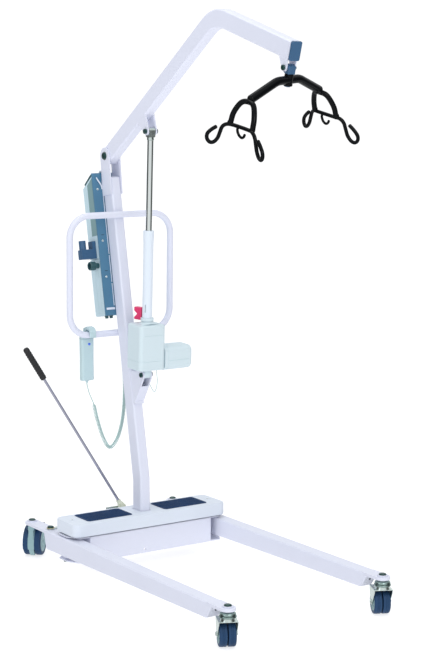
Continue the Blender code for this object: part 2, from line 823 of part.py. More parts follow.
web_side = [
    (mast_front(0.682), 0.682),
    (mast_front(0.565), 0.565),
    (mast_front(0.565) + 0.010, 0.565),
    (mast_front(0.682) + 0.006, 0.682),
]
join(
    bracket,
    prism(bracket_side, 0.0135, 0.0180),
    prism(web_side, -0.0180, 0.0180),
    prism([(0.2450, 0.571), (0.2560, 0.578), (0.2900, 0.633), (0.2820, 0.633)], -0.0140, 0.0140),
)
cut(
    bracket,
    prism(
        [
            (0.18, 0.560),
            (mast_front(0.560), 0.560),
            (mast_front(0.710), 0.710),
            (0.18, 0.710),
        ],
        -0.03,
        0.03,
    ),
    rod((ACTUATOR_FOOT.x, -0.03, ACTUATOR_FOOT.z), (ACTUATOR_FOOT.x, 0.03, ACTUATOR_FOOT.z), 0.0053),
)
piece(
    "actuator_foot_bolt",
    turned(
        [
            (0, -0.0255),
            (0.0085, -0.0255),
            (0.0085, -0.0184),
            (ACTUATOR_PIN_RADIUS, -0.0184),
            (ACTUATOR_PIN_RADIUS, 0.0184),
            (0.0085, 0.0184),
            (0.0085, 0.0250),
            (0, 0.0250),
        ],
        ACTUATOR_FOOT,
        (0, 1, 0),
        16,
    ),
    STEEL,
    hoist,
    ACTUATOR_FOOT,
)

side_step = Vector((0, HANDLE_HALF_WIDTH, 0))
handle_route = rounded_route(
    [
        HANDLE_BOTTOM - side_step,
        HANDLE_BOTTOM + side_step,
        HANDLE_TOP + side_step,
        HANDLE_TOP - side_step,
    ],
    HANDLE_CORNER,
    5,
    True,
)
handle = piece(
    "push_handle",
    bent_rod(handle_route, HANDLE_RADIUS, True, 2),
    WHITE_PAINT,
    hoist,
)
cut(
    handle,
    bent_rod(handle_route, HANDLE_RADIUS - HANDLE_WALL, True, 1),
    rod(HANDLE_BOTTOM + Vector((0, 0.03, -0.02)), HANDLE_BOTTOM + Vector((0, 0.03, 0)), 0.002, 8),
)


def mast_band(z_low, z_high):
    """The space that the mast takes up between two heights, a gap wider all round."""
    half = MAST_HALF_DEPTH / math.cos(MAST_LEAN) + GAP
    low = MAST_X - (z_low - MAST_KINK) * math.tan(MAST_LEAN)
    high = MAST_X - (z_high - MAST_KINK) * math.tan(MAST_LEAN)
    return prism(
        [(low - half, z_low), (low + half, z_low), (high + half, z_high), (high - half, z_high)],
        -MAST_HALF_WIDTH - GAP,
        MAST_HALF_WIDTH + GAP,
    )


cut(handle, mast_band(0.75, 1.28))


# ---------------------------------------------------------------- boom

boom = frame("boom_axis", BOOM_PIVOT, turn(-BOOM_RISE, "Y"), hoist)
fall = -(BOOM_RISE + BOOM_FALL)
tip_way = Vector((math.cos(fall), 0, math.sin(fall)))
apex = Vector((BOOM_REACH, 0, 0))
tip = apex + tip_way * BOOM_TIP


def boom_side(half, start, end):
    """The boom's side outline: a straight arm, an arc at the bend, and the arm's tip."""
    spine = [Vector((start, 0, 0)), apex, apex + tip_way * end]
    route = rounded_route(spine, BOOM_BEND, 6)
    ways = [Vector((1, 0, 0))]
    ways += [turn(-fall * i / 6, "Y") @ Vector((1, 0, 0)) for i in range(7)]
    ways += [tip_way]
    upper = []
    lower = []
    for point, way in zip(route, ways):
        normal = Vector((-way.z, 0, way.x))
        upper.append(point + normal * half)
        lower.append(point - normal * half)
    outline = lower + upper[::-1]
    return [(point.x, point.z) for point in outline]


arm = piece(
    "boom",
    prism(boom_side(BOOM_HALF_DEPTH, 0, BOOM_TIP - 0.008), -BOOM_HALF_WIDTH, BOOM_HALF_WIDTH),
    WHITE_PAINT,
    boom,
)
soften(arm, 0.005, 1, 40)
cut(
    arm,
    prism(
        boom_side(BOOM_HALF_DEPTH - BOOM_WALL, 0.045, BOOM_TIP + 0.02),
        -BOOM_HALF_WIDTH + BOOM_WALL,
        BOOM_HALF_WIDTH - BOOM_WALL,
    ),
)
rod_pin = turn(BOOM_RISE, "Y") @ (Vector((0.336, 0, 1.520)) - BOOM_PIVOT)
hanger_pin = turn(BOOM_RISE, "Y") @ (HANGER_PIVOT - BOOM_PIVOT)
LUG_ROOT = BOOM_HALF_DEPTH - 0.0055
lug = [
    (rod_pin.x + 0.030, -LUG_ROOT),
    (rod_pin.x - 0.030, -LUG_ROOT),
    *arc((rod_pin.x, rod_pin.z), 0.0135, 190, 350, 8),
]
tip_back = apex + tip_way * (BOOM_TIP - 0.008)
tip_down = Vector((tip_way.z, 0, -tip_way.x))
hanger_top = tip_back + tip_down * LUG_ROOT
plate_front = hanger_top - tip_way * 0.004
plate_back = hanger_top - tip_way * 0.050
hanger_plate = [
    (plate_front.x, plate_front.z),
    (plate_back.x, plate_back.z),
    *arc((hanger_pin.x, hanger_pin.z), 0.0125, 180, 320, 8),
]
join(
    arm,
    rod((0, 0.0001 - BOOM_HALF_WIDTH, 0), (0, BOOM_HALF_WIDTH - 0.0001, 0), BOOM_HALF_DEPTH - 0.0002, 28),
    prism(lug, -0.0185, -0.0140),
    prism(lug, 0.0140, 0.0185),
    rod((rod_pin.x, -0.0260, rod_pin.z), (rod_pin.x, -0.0160, rod_pin.z), 0.0085, 20),
    rod((rod_pin.x, 0.0160, rod_pin.z), (rod_pin.x, 0.0250, rod_pin.z), 0.0085, 20),
    prism(hanger_plate, -0.0185, -0.0140),
    prism(hanger_plate, 0.0140, 0.0185),
)
cut(
    arm,
    rod((0, -0.03, 0), (0, 0.03, 0), BOOM_PIN_RADIUS + FIT, 16),
    rod((hanger_pin.x, -0.03, hanger_pin.z), (hanger_pin.x, 0.03, hanger_pin.z), HANGER_PIN_RADIUS + FIT),
)

tip_frame = frame("tip_frame", tip, turn(-fall, "Y"), boom)
cap = piece(
    "boom_end_cap",
    prism(rounded((-BOOM_HALF_WIDTH, -BOOM_HALF_DEPTH), (BOOM_HALF_WIDTH, BOOM_HALF_DEPTH), 0.005), -0.0077, 0, "X"),
    BLUE_PLASTIC,
    tip_frame,
)
join(cap, block((-0.022, -0.0135, -0.0240), (-0.007, 0.0135, 0.0240)))
cut(cap, block((-0.030, -0.0115, -0.0220), (-0.0075, 0.0115, 0.0220)))
piece(
    "boom_pivot_bolt",
    turned(
        [
            (0, -0.0300),
            (0.0120, -0.0300),
            (0.0120, -EAR_OUTER - GAP),
            (BOOM_PIN_RADIUS, -EAR_OUTER - GAP),
            (BOOM_PIN_RADIUS, EAR_OUTER + GAP),
            (0.0120, EAR_OUTER + GAP),
            (0.0120, 0.0300),
            (0, 0.0300),
        ],
        BOOM_PIVOT,
        (0, 1, 0),
    ),
    STEEL,
    hoist,
    BOOM_PIVOT,
)
piece(
    "hanger_bolt",
    turned(
        [
            (0, -0.0265),
            (0.0085, -0.0265),
            (0.0085, -0.0190),
            (HANGER_PIN_RADIUS, -0.0190),
            (HANGER_PIN_RADIUS, 0.0190),
            (0.0085, 0.0190),
            (0.0085, 0.0250),
            (0, 0.0250),
        ],
        hanger_pin,
        (0, 1, 0),
        16,
    ),
    STEEL,
    boom,
    hanger_pin,
)


# ---------------------------------------------------------------- hanger and spreader bar

hanger = frame("hanger_axis", HANGER_PIVOT, turn(HANGER_TILT, "Y"), hoist)
SLEEVE_TOP, SLEEVE_BOTTOM = -0.0175, -0.0530
hanger_body = piece(
    "hanger_block",
    prism(
        [
            (SWIVEL_OFFSET + 0.0125, -0.0172),
            (SWIVEL_OFFSET + 0.0125, 0.008),
            (0.008, 0.0125),
            *arc((0, 0), 0.0125, 90, 210, 5),
            (SWIVEL_OFFSET - 0.0125, -0.0172),
        ],
        -0.0135,
        0.0135,
    ),
    BLUE_PLASTIC,
    hanger,
)
soften(hanger_body, 0.002)
join(
    hanger_body,
    rod((SWIVEL_OFFSET, 0, -0.020), (SWIVEL_OFFSET, 0, SLEEVE_BOTTOM - 0.001), 0.0070),
    rod((SWIVEL_OFFSET, 0, SLEEVE_BOTTOM - 0.0008), (SWIVEL_OFFSET, 0, -0.0565), 0.0100),
    rod((SWIVEL_OFFSET, 0, -0.0165), (SWIVEL_OFFSET, 0, -0.0203), 0.0070),
)
cut(hanger_body, rod((0, -0.03, 0), (0, 0.03, 0), HANGER_PIN_RADIUS + FIT))

spreader = frame("spreader_axis", (SWIVEL_OFFSET, 0, 0), turn(SPREADER_YAW, "Z"), hanger)
BAR_Z = -0.036
BAR_RADIUS, BAR_BEND = 0.0135, 0.080
FRAME_BAR_RADIUS = 0.0085
HOOK_WIRE_RADIUS = 0.006
MIDDLE_WIRE_RADIUS = 0.0042
sleeve = turned(
    [
        (0, SLEEVE_TOP),
        (0.0140, SLEEVE_TOP),
        (0.0140, SLEEVE_BOTTOM + 0.006),
        (0.0155, SLEEVE_BOTTOM + 0.006),
        (0.0155, SLEEVE_BOTTOM - 0.0003),
        (0, SLEEVE_BOTTOM - 0.0003),
    ],
    (0, 0, 0),
    (0, 0, 1),
)
bar_knots = [
    Vector((0, -SPREADER_HALF_LENGTH, BAR_Z - SPREADER_END_DROP)),
    Vector((0, -0.055, BAR_Z)),
    Vector((0, 0.055, BAR_Z)),
    Vector((0, SPREADER_HALF_LENGTH, BAR_Z - SPREADER_END_DROP)),
]
bar = piece(
    "spreader_bar",
    bent_rod(rounded_route(bar_knots, BAR_BEND, 4), BAR_RADIUS, False, 3),
    BLACK_PAINT,
    spreader,
)
join(bar, sleeve)
cut(bar, rod((0, 0, -0.010), (0, 0, -0.060), 0.0073))


def make_side_frame(name, way):
    """The inverted U under one end of the bar, its cross bar, two end hooks and a middle hook."""
    top_z = BAR_Z - SPREADER_END_DROP - 0.008
    low_z = BAR_Z - FRAME_DROP
    shoulder_y = SPREADER_HALF_LENGTH + 0.014
    knee_y = SPREADER_HALF_LENGTH + FRAME_FLARE * 0.72
    low_y = SPREADER_HALF_LENGTH + FRAME_FLARE

    def leaning(x, y, z):
        return Vector((x + FRAME_LEAN * (top_z - z) / (top_z - low_z), way * y, z))

    half_u = [
        (FRAME_HALF_WIDTH * 0.55, shoulder_y, top_z - 0.006),
        (FRAME_HALF_WIDTH * 0.92, knee_y, low_z + 0.034),
        (FRAME_HALF_WIDTH, low_y, low_z),
    ]
    knots = [leaning(-x, y, z) for x, y, z in half_u[::-1]]
    knots.append(leaning(0, SPREADER_HALF_LENGTH + 0.006, top_z))
    knots += [leaning(x, y, z) for x, y, z in half_u]
    side = piece(
        name,
        bent_rod(curved_route(knots, 3), FRAME_BAR_RADIUS, False, 2),
        BLACK_PAINT,
        spreader,
    )
    end_hook = [
        (0.030, 0.0), (0.050, -0.002), (0.062, -0.012), (0.068, -0.028), (0.075, -0.048), (0.086, -0.062),
        (0.098, -0.065), (0.106, -0.056), (0.105, -0.042), (0.094, -0.028), (0.080, -0.016),
    ]
    wire_points = [(-x, z) for x, z in reversed(end_hook)] + end_hook
    wire_route = [
        leaning(x, low_y + HOOK_SPLAY * max(0, abs(x) - 0.030), low_z + z) for x, z in wire_points
    ]
    middle_hook = [
        (-0.012, 0.0), (-0.014, -0.012), (-0.008, -0.024), (0.002, -0.029), (0.010, -0.025), (0.014, -0.017),
    ]
    middle_route = [leaning(x, low_y, low_z + z) for x, z in middle_hook]
    join(
        side,
        bent_rod(wire_route, HOOK_WIRE_RADIUS, False, 1),
        bent_rod(middle_route, MIDDLE_WIRE_RADIUS, False, 1),
    )
    cut(side, bent_rod(rounded_route(bar_knots, BAR_BEND, 4), BAR_RADIUS + GAP, False, 3))


make_side_frame("side_frame_right", -1)
make_side_frame("side_frame_left", 1)


# ---------------------------------------------------------------- actuator

actuator = frame("actuator_axis", ACTUATOR_FOOT, turn(ACTUATOR_LEAN, "Y"), hoist)
GEAR_BOTTOM, GEAR_TOP = 0.0190, 0.1900
MOTOR_FACE, MOTOR_END = 0.0583, 0.1710
TUBE_TOP = 0.5065
gear_outline = rounded((-0.060, -0.046), (0.034, MOTOR_FACE - GAP), 0.014, 4)
gear = piece("gear_housing", prism(gear_outline, GEAR_BOTTOM, GEAR_TOP, "Z"), WHITE_PLASTIC, actuator)
soften(gear, 0.003, 1, 50)
join(
    gear,
    prism([*arc((0, 0), 0.0125, 180, 360, 8), (0.0125, 0.022), (-0.0125, 0.022)], -0.0130, 0.0130),
)
cut(
    gear,
    rod((0, -0.03, 0), (0, 0.03, 0), ACTUATOR_PIN_RADIUS + FIT),
    rod((0, 0, 0.160), (0, 0, 0.20), TUBE_RADIUS + GAP, 32),
    rod((0.022, 0.030, 0.010), (0.022, 0.030, 0.026), 0.0050, 12),
)
motor = piece(
    "motor_housing",
    prism(rounded((-0.052, 0.014), (0.032, 0.104), 0.022, 4), MOTOR_FACE, MOTOR_END),
    WHITE_PLASTIC,
    actuator,
)
soften(motor, 0.006, 2, 50)
piece(
    "actuator_tube",
    turned(
        [
            (0.0113, 0.175),
            (TUBE_RADIUS, 0.175),
            (TUBE_RADIUS, TUBE_TOP - 0.014),
            (0.0190, TUBE_TOP - 0.014),
            (0.0190, TUBE_TOP),
            (0.0113, TUBE_TOP),
        ],
        (0, 0, 0),
        (0, 0, 1),
        32,
    ),
    WHITE_PLASTIC,
    actuator,
)
ROD_BOTTOM = TUBE_TOP - 0.035
ROD_TOP = ACTUATOR_LENGTH - 0.030
piece(
    "actuator_rod",
    rod((0, 0, ROD_BOTTOM), (0, 0, ROD_TOP), ROD_RADIUS, 28),
    CHROME,
    actuator,
)
rod_end = piece(
    "rod_end",
    turned(
        [
            (0, ROD_TOP + GAP),
            (0.0125, ROD_TOP + GAP),
            (0.0125, ROD_TOP + 0.012),
            (0.0100, ROD_TOP + 0.018),
            (0, ROD_TOP + 0.018),
        ],
        (0, 0, 0),
        (0, 0, 1),
    ),
    STEEL,
    actuator,
    (0, 0, ACTUATOR_LENGTH),
)
eye = [
    (-0.0115, ROD_TOP + 0.010),
    (0.0115, ROD_TOP + 0.010),
    *arc((0, ACTUATOR_LENGTH), 0.0125, 0, 180, 10),
]
join(rod_end, prism(eye, -0.0120, 0.0120))
cut(rod_end, rod((0, -0.03, ACTUATOR_LENGTH), (0, 0.03, ACTUATOR_LENGTH), ACTUATOR_PIN_RADIUS + FIT))
clip = piece(
    "lowering_clip",
    turned(
        [
            (TUBE_RADIUS + 0.0004, 0.1915),
            (0.0230, 0.1915),
            (0.0230, 0.2020),
            (TUBE_RADIUS + 0.0004, 0.2020),
        ],
        (0, 0, 0),
        (0, 0, 1),
        32,
    ),
    RED_PLASTIC,
    actuator,
    (0, 0, 0.1915),
)
clip_wing = [
    (-0.021, 0.1916), (-0.046, 0.1916), (-0.050, 0.2020), (-0.038, 0.2110),
    (-0.050, 0.2200), (-0.048, 0.2330), (-0.021, 0.2330),
]
join(clip, prism(clip_wing, -0.0100, 0.0100))


# ---------------------------------------------------------------- control box and battery

BOX_LOW, BOX_HIGH = 0.586, 1.093
BOX_HALF_WIDTH = 0.058
PLATE_HALF_WIDTH = 0.060
BOX_SPLIT = 0.790
PLATE_FRONT, PLATE_REAR = -MAST_HALF_DEPTH - GAP, -0.0360
BOX_FRONT, BOX_REAR = PLATE_REAR - GAP, -0.1080
piece(
    "mounting_plate",
    prism(
        rounded((PLATE_REAR, -PLATE_HALF_WIDTH), (PLATE_FRONT, PLATE_HALF_WIDTH), 0.002, 2),
        BOX_LOW,
        BOX_HIGH,
        "Z",
    ),
    BLUE_PLASTIC,
    mast,
)
piece(
    "control_box",
    prism(
        [
            (BOX_FRONT, BOX_LOW),
            (BOX_REAR + 0.006, BOX_LOW),
            (BOX_REAR, BOX_LOW + 0.006),
            (BOX_REAR, BOX_SPLIT - GAP),
            (BOX_FRONT, BOX_SPLIT - GAP),
        ],
        -BOX_HALF_WIDTH,
        BOX_HALF_WIDTH,
    ),
    PALE_PLASTIC,
    mast,
)
battery = piece(
    "battery_pack",
    prism(
        [
            (BOX_FRONT, BOX_SPLIT),
            (BOX_REAR, BOX_SPLIT),
            (BOX_REAR, BOX_HIGH - 0.046),
            (BOX_FRONT, BOX_HIGH - 0.006),
        ],
        -BOX_HALF_WIDTH,
        BOX_HALF_WIDTH,
    ),
    PALE_PLASTIC,
    mast,
    (BOX_FRONT, 0, BOX_SPLIT),
)
soften(battery, 0.004)
LATCH_REACH = -0.0705
LATCH_PIN = Vector((BOX_FRONT - 0.006, 0, BOX_HIGH + 0.0065))
piece(
    "battery_latch",
    prism(
        [
            *arc((LATCH_PIN.x, LATCH_PIN.z), 0.0045, 0, 90, 4),
            (LATCH_REACH, BOX_HIGH - 0.014),
            (LATCH_REACH - 0.002, BOX_HIGH - 0.022),
            (LATCH_PIN.x - 0.003, LATCH_PIN.z - 0.0045),
        ],
        -0.020,
        0.020,
    ),
    WHITE_PLASTIC,
    mast,
    LATCH_PIN,
)
HOOK_Z = 0.792
SIDE_Y = -BOX_HALF_WIDTH - GAP
hook = piece(
    "cable_hook",
    block((-0.085, -0.1160, HOOK_Z), (-0.055, SIDE_Y, HOOK_Z + 0.034)),
    TEAL_PLASTIC,
    mast,
)
join(
    hook,
    rod((-0.070, -0.1040, HOOK_Z + 0.0005), (-0.070, -0.1040, HOOK_Z + 0.066), 0.0125, 16),
    block((-0.0848, -0.0720, HOOK_Z + 0.030), (-0.0552, SIDE_Y - 0.0002, HOOK_Z + 0.062)),
)
KNOB_AXIS = (-0.052, 0, 0.766)
piece(
    "clamp_knob",
    turned(
        [
            (0, -SIDE_Y),
            (0.0100, -SIDE_Y),
            (0.0100, 0.0680),
            (0.0150, 0.0720),
            (0.0150, 0.0930),
            (0.0135, 0.0950),
            (0, 0.0950),
        ],
        KNOB_AXIS,
        (0, -1, 0),
    ),
    TEAL_PLASTIC,
    mast,
    KNOB_AXIS,
)

PLUG = Vector((-0.066, 0.020, BOX_LOW))
piece(
    "handset_plug",
    turned(
        [
            (0, -0.0240),
            (0.0070, -0.0240),
            (0.0095, -0.0180),
            (0.0095, -GAP),
            (0, -GAP),
        ],
        PLUG,
        (0, 0, 1),
    ),
    TEAL_PLASTIC,
    mast,
)


# ---------------------------------------------------------------- handset and cords

HANDSET_Y = -0.125
HANDSET_BOTTOM = 0.639
shell = piece(
    "handset",
    prism(rounded((0.0885, HANDSET_Y - 0.0255), (0.1130, HANDSET_Y + 0.0255), 0.007, 3), HANDSET_BOTTOM, 0.8155, "Z"),
    PALE_PLASTIC,
    hoist,
)
soften(shell, 0.003, 1, 50)
hook_side = [
    (0.0955, 0.800),
    (0.1115, 0.800),
    (0.1115, 0.8185),
    (0.1170, 0.8215),
    (0.1270, 0.8225),
    (0.1365, 0.8200),
    (0.1420, 0.8120),
    (0.1420, 0.7960),
    (0.1480, 0.7960),
    (0.1480, 0.8150),
    (0.1440, 0.8250),
    (0.1360, 0.8320),
    (0.1180, 0.8340),
    (0.0960, 0.8260),
]
join(shell, prism(hook_side, HANDSET_Y - 0.011, HANDSET_Y + 0.013))
for label, z in (("up", 0.742), ("down", 0.706)):
    centre = Vector((0.0885, HANDSET_Y, z))
    cut(shell, rod(centre + Vector((-0.01, 0, 0)), centre + Vector((0.0060, 0, 0)), 0.0093, 20))
    piece(
        f"handset_button_{label}",
        turned(
            [
                (0, -0.0025),
                (0.0075, -0.0025),
                (0.0088, -0.0010),
                (0.0088, 0.0040),
                (0, 0.0040),
            ],
            centre,
            (1, 0, 0),
            20,
        ),
        BLUE_PLASTIC,
        hoist,
        centre,
    )

plug_end = turn(-MAST_LEAN, "Y") @ Vector((PLUG.x, PLUG.y, BOX_LOW - 0.0262)) + kink
CORD_RADIUS = 0.0025
COIL_RADIUS = 0.0070
lead_route = curved_route(
    [
        Vector((0.1010, HANDSET_Y, HANDSET_BOTTOM - GAP)),
        Vector((0.1030, -0.1255, 0.622)),
        Vector((0.1090, -0.1190, 0.590)),
        Vector((0.1150, -0.1072, 0.5575)),
    ],
    4,
)
piece("handset_cord_lead", tube_curve(lead_route, CORD_RADIUS, False, 2), PALE_PLASTIC, hoist)
COIL_KNOTS = [
    Vector((0.1150, -0.1068, 0.5560)),
    Vector((0.1220, -0.0970, 0.5000)),
    Vector((0.1360, -0.0800, 0.4300)),
    Vector((0.1430, -0.0560, 0.3960)),
    Vector((0.1430, -0.0240, 0.4300)),
    Vector((0.1390, 0.0010, 0.5100)),
    Vector((0.1230, 0.0170, 0.6150)),
    Vector((0.1050, 0.0200, 0.7200)),
    Vector((0.0960, 0.0200, 0.8000)),
    Vector((plug_end.x, plug_end.y, plug_end.z)),
]
coil_route = curved_route(COIL_KNOTS, 3)
piece("handset_cord_coil", tube_curve(coil_route, COIL_RADIUS, False, 2), PALE_PLASTIC, hoist)


def seen_from_hoist(point):
    return turn(ACTUATOR_LEAN, "Y") @ Vector(point) + ACTUATOR_FOOT


motor_lead_route = curved_route(
    [
        seen_from_hoist((0.022, 0.030, 0.0215)),
        seen_from_hoist((0.022, 0.030, 0.0080)),
        Vector((0.3220, 0.0310, 0.6500)),
        Vector((0.3120, 0.0300, 0.6180)),
        Vector((0.2980, 0.0290, 0.6150)),
        Vector((0.2750, 0.0250, 0.6400)),
        Vector((0.2560, 0.0190, 0.6480)),
    ],
    3,
)
piece("motor_lead", tube_curve(motor_lead_route, 0.0012, False, 2), PALE_PLASTIC, hoist)
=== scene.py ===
"""Looks of the mobile patient lift hoist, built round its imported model. Metres, +Z up, +X forward.

Sizes are given from the rear caster stems (x = 0) and the object's centre plane (y = 0), as in the
CAD source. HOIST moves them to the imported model's frame.
"""

import json
import math

import bmesh
import bpy
from mathutils import Matrix, Vector


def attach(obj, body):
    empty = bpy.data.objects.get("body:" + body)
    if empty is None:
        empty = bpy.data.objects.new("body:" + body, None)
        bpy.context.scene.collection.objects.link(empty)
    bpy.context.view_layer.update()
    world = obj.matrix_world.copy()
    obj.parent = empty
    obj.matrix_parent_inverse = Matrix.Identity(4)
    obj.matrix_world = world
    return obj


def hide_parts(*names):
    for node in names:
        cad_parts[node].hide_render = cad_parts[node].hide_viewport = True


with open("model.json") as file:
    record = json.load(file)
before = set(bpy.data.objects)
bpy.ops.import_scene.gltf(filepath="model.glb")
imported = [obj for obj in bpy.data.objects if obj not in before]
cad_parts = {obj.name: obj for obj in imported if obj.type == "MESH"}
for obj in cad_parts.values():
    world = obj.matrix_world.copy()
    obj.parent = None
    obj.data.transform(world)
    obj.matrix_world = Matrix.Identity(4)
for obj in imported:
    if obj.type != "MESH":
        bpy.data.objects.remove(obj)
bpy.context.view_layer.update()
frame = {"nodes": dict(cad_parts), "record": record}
nodes = frame["nodes"]
bodies = frame["record"]["behaviour"]["bodies"]
body_of = {node: body for body, members in bodies.items() for node in members}


def turn(degrees, axis):
    return Matrix.Rotation(math.radians(degrees), 4, axis)


def shift(x, y, z):
    return Matrix.Translation((x, y, z))


# ---------------------------------------------------------------- frames of the moving parts

HOIST = shift(-0.5922, -0.0201, 0)
MAST_LEAN = 10.41
MAST = HOIST @ shift(0.2625, 0, 0.2972) @ turn(-MAST_LEAN, "Y")
BOOM_PIVOT = Vector((0.064, 0.0, 1.428))
ACTUATOR_FOOT = Vector((0.298, 0.0, 0.675))
ACTUATOR = HOIST @ Matrix.Translation(ACTUATOR_FOOT) @ turn(2.57, "Y")
HANGER = HOIST @ shift(1.126, 0, 1.7275) @ turn(15.5, "Y")
SPREADER = HANGER @ shift(0.008, 0, 0) @ turn(17.6, "Z")
LEVER = HOIST @ shift(0.164, 0, 0.145) @ turn(28.7, "X")
LEG_Y = 0.298


# ---------------------------------------------------------------- camera

camera = bpy.data.objects.new("camera", bpy.data.cameras.new("camera"))
bpy.context.scene.collection.objects.link(camera)
azimuth, elevation = math.radians(56.218), math.radians(8.003)
back = Vector(
    (
        math.sin(azimuth) * math.cos(elevation),
        -math.cos(azimuth) * math.cos(elevation),
        math.sin(elevation),
    )
)
camera.location = HOIST @ Vector((5.3703, -3.1227, 1.6710))
camera.rotation_mode = "QUATERNION"
camera.rotation_quaternion = back.to_track_quat("Z", "Y")
camera.data.lens = 94.43
camera.data.sensor_width = 36
bpy.context.scene.camera = camera


# ---------------------------------------------------------------- materials


def material(
    name,
    colour,
    roughness,
    metallic=0.0,
    coat=0.0,
    mottle=0.03,
    mottle_scale=9.0,
    grain=0.0,
    grain_scale=900.0,
    rough_spread=0.05,
    specular=0.5,
):
    """A finish with slow colour variation, uneven gloss and a fine grain, all from noise."""
    made = bpy.data.materials.new(name)
    made.use_nodes = True
    tree = made.node_tree
    shader = tree.nodes["Principled BSDF"]
    shader.inputs["Metallic"].default_value = metallic
    shader.inputs["Coat Weight"].default_value = coat
    shader.inputs["Coat Roughness"].default_value = 0.08
    shader.inputs["Specular IOR Level"].default_value = specular
    place = tree.nodes.new("ShaderNodeTexCoord").outputs["Object"]

    def noise(scale, detail):
        made_noise = tree.nodes.new("ShaderNodeTexNoise")
        made_noise.inputs["Scale"].default_value = scale
        made_noise.inputs["Detail"].default_value = detail
        tree.links.new(place, made_noise.inputs["Vector"])
        return made_noise.outputs["Fac"]

    def spread(value, low, high):
        ranged = tree.nodes.new("ShaderNodeMapRange")
        ranged.inputs["From Min"].default_value = 0.3
        ranged.inputs["From Max"].default_value = 0.7
        ranged.inputs["To Min"].default_value = low
        ranged.inputs["To Max"].default_value = high
        tree.links.new(value, ranged.inputs["Value"])
        return ranged.outputs["Result"]

    mix = tree.nodes.new("ShaderNodeMix")
    mix.data_type = "RGBA"
    mix.inputs["A"].default_value = (*[c * (1 - mottle) for c in colour], 1)
    mix.inputs["B"].default_value = (*[min(1, c * (1 + mottle)) for c in colour], 1)
    tree.links.new(spread(noise(mottle_scale, 4), 0, 1), mix.inputs["Factor"])
    tree.links.new(mix.outputs["Result"], shader.inputs["Base Color"])
    uneven = spread(
        noise(mottle_scale * 3, 3), max(0.02, roughness - rough_spread), roughness + rough_spread
    )
    tree.links.new(uneven, shader.inputs["Roughness"])
    if grain:
        bump = tree.nodes.new("ShaderNodeBump")
        bump.inputs["Strength"].default_value = grain
        bump.inputs["Distance"].default_value = 0.0004
        tree.links.new(noise(grain_scale, 2), bump.inputs["Height"])
        tree.links.new(bump.outputs["Normal"], shader.inputs["Normal"])
    return made


PAINT = material(
    "powder_coat", (0.735, 0.755, 0.875), 0.36, mottle=0.008, grain=0.012, grain_scale=400, rough_spread=0.02,
    specular=0.30
)
SHELL = material(
    "cover_plastic", (0.72, 0.775, 0.87), 0.45, mottle=0.010, grain=0.08, rough_spread=0.03, specular=0.35
)
HOUSING = material("housing_plastic", (0.635, 0.745, 0.795), 0.45, mottle=0.012, grain=0.10, specular=0.35)
PALE = material("pale_grey_plastic", (0.50, 0.65, 0.69), 0.45, mottle=0.02, grain=0.18)
BOX_PALE = material("box_plastic", (0.56, 0.72, 0.80), 0.40, mottle=0.02, grain=0.15)
NAVY = material("pad_plastic", (0.010, 0.042, 0.125), 0.60, mottle=0.10, grain=0.4, grain_scale=420, specular=0.12)
TYRE = material("tyre_navy", (0.018, 0.055, 0.130), 0.48, mottle=0.12, grain=0.25, grain_scale=500, specular=0.2)
SLEEVE = material("sleeve_coat", (0.73, 0.80, 0.89), 0.36, mottle=0.008, grain=0.02, specular=0.35)
DISC = material("wheel_disc", (0.20, 0.33, 0.35), 0.42, mottle=0.04, grain=0.15)
HOOD = material("hood_plastic", (0.27, 0.42, 0.44), 0.42, mottle=0.04, grain=0.15)
BLUE = material("blue_plastic", (0.065, 0.190, 0.310), 0.38, mottle=0.05, grain=0.15)
DEEP_BLUE = material("deep_blue_plastic", (0.035, 0.105, 0.215), 0.36, mottle=0.05, grain=0.12)
TEAL = material("teal_plastic", (0.025, 0.085, 0.100), 0.34, mottle=0.06, grain=0.12)
RED = material("red_plastic", (0.72, 0.040, 0.150), 0.32, coat=0.3, mottle=0.03, grain=0.1)
BLACK = material(
    "black_gloss", (0.0035, 0.004, 0.005), 0.16, mottle=0.05, grain=0.03, grain_scale=500, rough_spread=0.03,
    specular=0.10
)
RUBBER = material("black_rubber", (0.012, 0.012, 0.014), 0.55, mottle=0.10, grain=0.4, grain_scale=700)
CREAM = material("cream_rubber", (0.70, 0.73, 0.60), 0.50, mottle=0.03, grain=0.2)
CHROME = material("chrome", (0.74, 0.78, 0.77), 0.07, 1.0, mottle=0.01, rough_spread=0.02)
STEEL = material("plated_steel", (0.30, 0.40, 0.38), 0.30, 1.0, mottle=0.06, grain=0.1)
DARK_STEEL = material("dark_steel", (0.020, 0.065, 0.062), 0.34, 0.35, mottle=0.10, grain=0.1)
ZINC = material("zinc_plate", (0.62, 0.70, 0.67), 0.24, 1.0, mottle=0.06, mottle_scale=30, grain=0.08)
BRASS = material("yellow_zinc", (0.55, 0.47, 0.22), 0.30, 1.0, mottle=0.06, mottle_scale=60)
CORD = material("cord_sleeve", (0.46, 0.62, 0.61), 0.45, mottle=0.03, grain=0.2, grain_scale=1200)
DOT = material("button_blue", (0.06, 0.17, 0.75), 0.30, coat=0.3, mottle=0.02)
LEVER_CHROME = material("lever_chrome", (0.42, 0.42, 0.52), 0.12, 1.0, mottle=0.03, rough_spread=0.02)
# Near-black for the mounting plate's slots is painted shade: the dark inside of each slot, drawn as a thin dark bar.
SLOT_SHADE = material("painted_slot_shade", (0.01, 0.02, 0.02), 0.6, mottle=0.1)


# ---------------------------------------------------------------- shapes: each is (points, faces)


def arc(centre, radius, first, last, steps):
    angles = [math.radians(first + (last - first) * i / steps) for i in range(steps + 1)]
    return [(centre[0] + radius * math.cos(a), centre[1] + radius * math.sin(a)) for a in angles]


def rounded(low, high, radius, steps=6):
    left, right = low[0] + radius, high[0] - radius
    bottom, top = low[1] + radius, high[1] - radius
    return (
        arc((right, bottom), radius, -90, 0, steps)
        + arc((right, top), radius, 0, 90, steps)
        + arc((left, top), radius, 90, 180, steps)
        + arc((left, bottom), radius, 180, 270, steps)
    )


